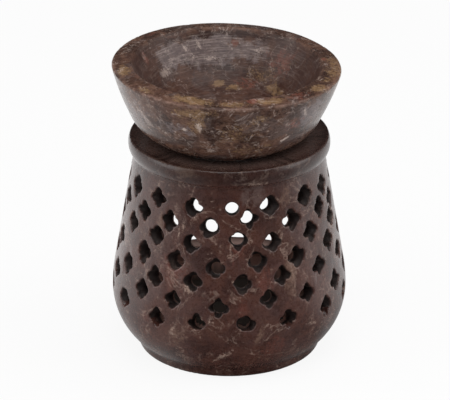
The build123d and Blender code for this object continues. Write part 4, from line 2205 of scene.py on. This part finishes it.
@dataclass(frozen=True)
class Studio:
    """Plain pale floor, soft light and the camera.

    Lengths are in metres. The floor and the world look white to the camera, and the stone's
    polish sees them bright at the sides and dim in front, as in a shaded studio. A pair of
    numbers is where such a change along a direction or a distance starts and where it is complete.
    """

    floor_radius: float = 2.5
    floor_sides: int = 96
    floor_colour: Colour = Colour(244, 244, 244)
    tooth_colour: Rgba = (0.7, 0.7, 0.7, 1.0)
    tooth_waves: float = 400.0
    tooth_strength: float = 0.04
    floor_glow: float = 0.9
    ambient: float = 0.3
    front_gloss: float = 0.02
    near_right: float = 0.15
    near_left: float = 0.46
    near_range: tuple[float, float] = (-1.0, -0.7)
    right_gloss: float = 1.0
    left_gloss: float = 1.25
    far_range: tuple[float, float] = (-0.5, -0.1)
    side_range: tuple[float, float] = (0.1, -0.1)
    foot_range: tuple[float, float] = (0.04, 0.11)
    foot_gloss: float = 0.3
    floor_gloss: float = 0.15
    behind_range: tuple[float, float] = (0.0, 0.6)
    edge_range: tuple[float, float] = (1.6, 0.6)
    edge_gloss: float = 0.1
    back_gloss: float = 0.04
    back_range: tuple[float, float] = (-0.5, 0.5)
    side_gloss: float = 1.2
    beside_range: tuple[float, float] = (0.65, 1.05)
    camera_elevation: float = 23.9
    camera_distance: float = 1.1616
    camera_aim: tuple[float, float, float] = (-0.00143, 0.0, 0.05098)
    lens: float = 277.1
    sensor: float = 36.0
    view_range: tuple[float, float] = (0.01, 50.0)
    softboxes: tuple[Softbox, ...] = (
        Softbox("top_softbox", 70.0, 74.0, 1.0, 0.9, 0.9, 0.42),
        Softbox("left_softbox", -75.0, 25.0, 1.0, 0.7, 0.9, 0.30),
        Softbox("right_softbox", 80.0, 25.0, 1.1, 0.7, 0.9, 0.22),
        Softbox("front_softbox", -10.0, 55.0, 1.2, 0.8, 0.5, 0.25),
    )

    def build(self) -> None:
        """Put the floor, the lamps, the world and the camera in the scene."""
        self.floor()
        for softbox in self.softboxes:
            softbox.light(Vector(self.camera_aim))
        self.world()
        self.camera()
        bpy.context.scene.view_settings.view_transform = "Standard"

    def floor(self) -> None:
        """Lay a pale round floor that looks white and takes a faint shadow."""
        solid = bmesh.new()
        bmesh.ops.create_circle(
            solid, cap_ends=True, segments=self.floor_sides, radius=self.floor_radius
        )
        made = new_object("floor", solid)
        material = bpy.data.materials.new("floor_paper")
        sheet = emptied_tree(material)
        place = sheet.add("TexCoord").outputs["Object"]
        tooth = sheet.times(sheet.noise(place, self.tooth_waves, detail=3), self.tooth_strength)
        colour = sheet.mix(tooth, self.floor_colour.linear(), self.tooth_colour)
        paper = sheet.add("BsdfDiffuse", {"Color": colour}).outputs[0]
        path = sheet.add("LightPath").outputs
        clear = sheet.sum("MAXIMUM", path["Is Camera Ray"], path["Is Transmission Ray"])
        inputs = {0: sheet.times(clear, self.floor_glow), 1: paper, 2: sheet.glow(1.0)}
        seen = sheet.add("MixShader", inputs).outputs[0]
        mirror = sheet.glow(self.mirrored(sheet, place))
        blend = sheet.add("MixShader", {0: path["Is Glossy Ray"], 1: seen, 2: mirror}).outputs[0]
        sheet.add("OutputMaterial", {"Surface": blend})
        made.data.materials.append(material)

    def mirrored(self, sheet: Tree, place: NodeSocket) -> NodeSocket:
        """How bright the floor is in the stone's polish, by direction and distance.

        Args:
            sheet: The floor's node tree.
            place: Point of the floor.

        Returns:
            The brightness.
        """
        way = sheet.add("SeparateXYZ", {0: sheet.vector("NORMALIZE", place)}).outputs
        away = sheet.length(place)
        # Painted shadow: in the stone's polish the floor is dimmer near the burner's foot
        lit = sheet.between(away, *self.foot_range, self.foot_gloss, 1.0)
        sides = []
        for near_gloss, gloss in (
            (self.near_right, self.right_gloss),
            (self.near_left, self.left_gloss),
        ):
            near = sheet.between(way[1], *self.near_range, self.front_gloss, near_gloss)
            far = sheet.between(way[1], *self.far_range, 0.0, gloss - near_gloss)
            sides.append(sheet.sum("ADD", near, sheet.times(far, lit)))
        side = sheet.blend(sheet.between(way[0], *self.side_range), *sides)
        behind = sheet.between(way[1], *self.behind_range, 0.0, self.floor_gloss)
        edge = sheet.between(away, *self.edge_range, self.edge_gloss, 1.0)
        return sheet.times(sheet.sum("ADD", side, behind), edge)

    def world(self) -> None:
        """Surround the burner with white, which its polish sees bright at the sides only."""
        world = bpy.data.worlds.new("studio")
        bpy.context.scene.world = world
        sheet = emptied_tree(world)
        way = sheet.add("SeparateXYZ", {0: sheet.add("TexCoord").outputs["Generated"]}).outputs
        back = sheet.between(way[1], *self.back_range, self.front_gloss, self.back_gloss)
        beside = sheet.between(sheet.sum("ABSOLUTE", way[0]), *self.beside_range)
        path = sheet.add("LightPath").outputs
        clear = sheet.sum("MAXIMUM", path["Is Camera Ray"], path["Is Transmission Ray"])
        gloss = sheet.blend(beside, back, self.side_gloss)
        level = sheet.blend(clear, sheet.blend(path["Is Glossy Ray"], self.ambient, gloss), 1.0)
        light = sheet.add("Background", {"Color": (1, 1, 1, 1), "Strength": level}).outputs[0]
        sheet.add("OutputWorld", {"Surface": light})

    def camera(self) -> None:
        """Place the camera at the photograph's viewing angle."""
        lens = bpy.data.cameras.new("camera")
        lens.lens = self.lens
        lens.sensor_width = self.sensor
        lens.clip_start, lens.clip_end = self.view_range
        made = bpy.data.objects.new("camera", lens)
        rise = radians(self.camera_elevation)
        back = Vector((0, -cos(rise), sin(rise))) * self.camera_distance
        made.location = Vector(self.camera_aim) + back
        made.rotation_euler = (pi / 2 - rise, 0, 0)
        bpy.context.scene.collection.objects.link(made)
        bpy.context.scene.camera = made


# The whole burner


def main() -> None:
    """Build the studio, the body and the bowl, and report each piece."""
    logging.basicConfig(level=logging.INFO, format="%(name)s %(message)s")
    Studio().build()
    effects = EffectGroups()
    wall = WallShape()
    body = PiercedBody(wall, HoleShape(), ArchShape(), CHIPS, BODY_MARKS)
    bowl = Bowl(BowlShape(), wall, BOWL_MARKS)
    for piece, finish, node, group, slot in (
        (body, BODY_STONE, "pierced_body", "body", "body_stone"),
        (bowl, BOWL_STONE, "bowl", "bowl", "bowl_stone"),
    ):
        made = piece.build()
        made.data.materials.append(finish.material(effects))
        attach(made, group)
        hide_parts(node)
        log.info("%s: %d faces", made.name, len(made.data.polygons))


if __name__ == "__main__":
    main()
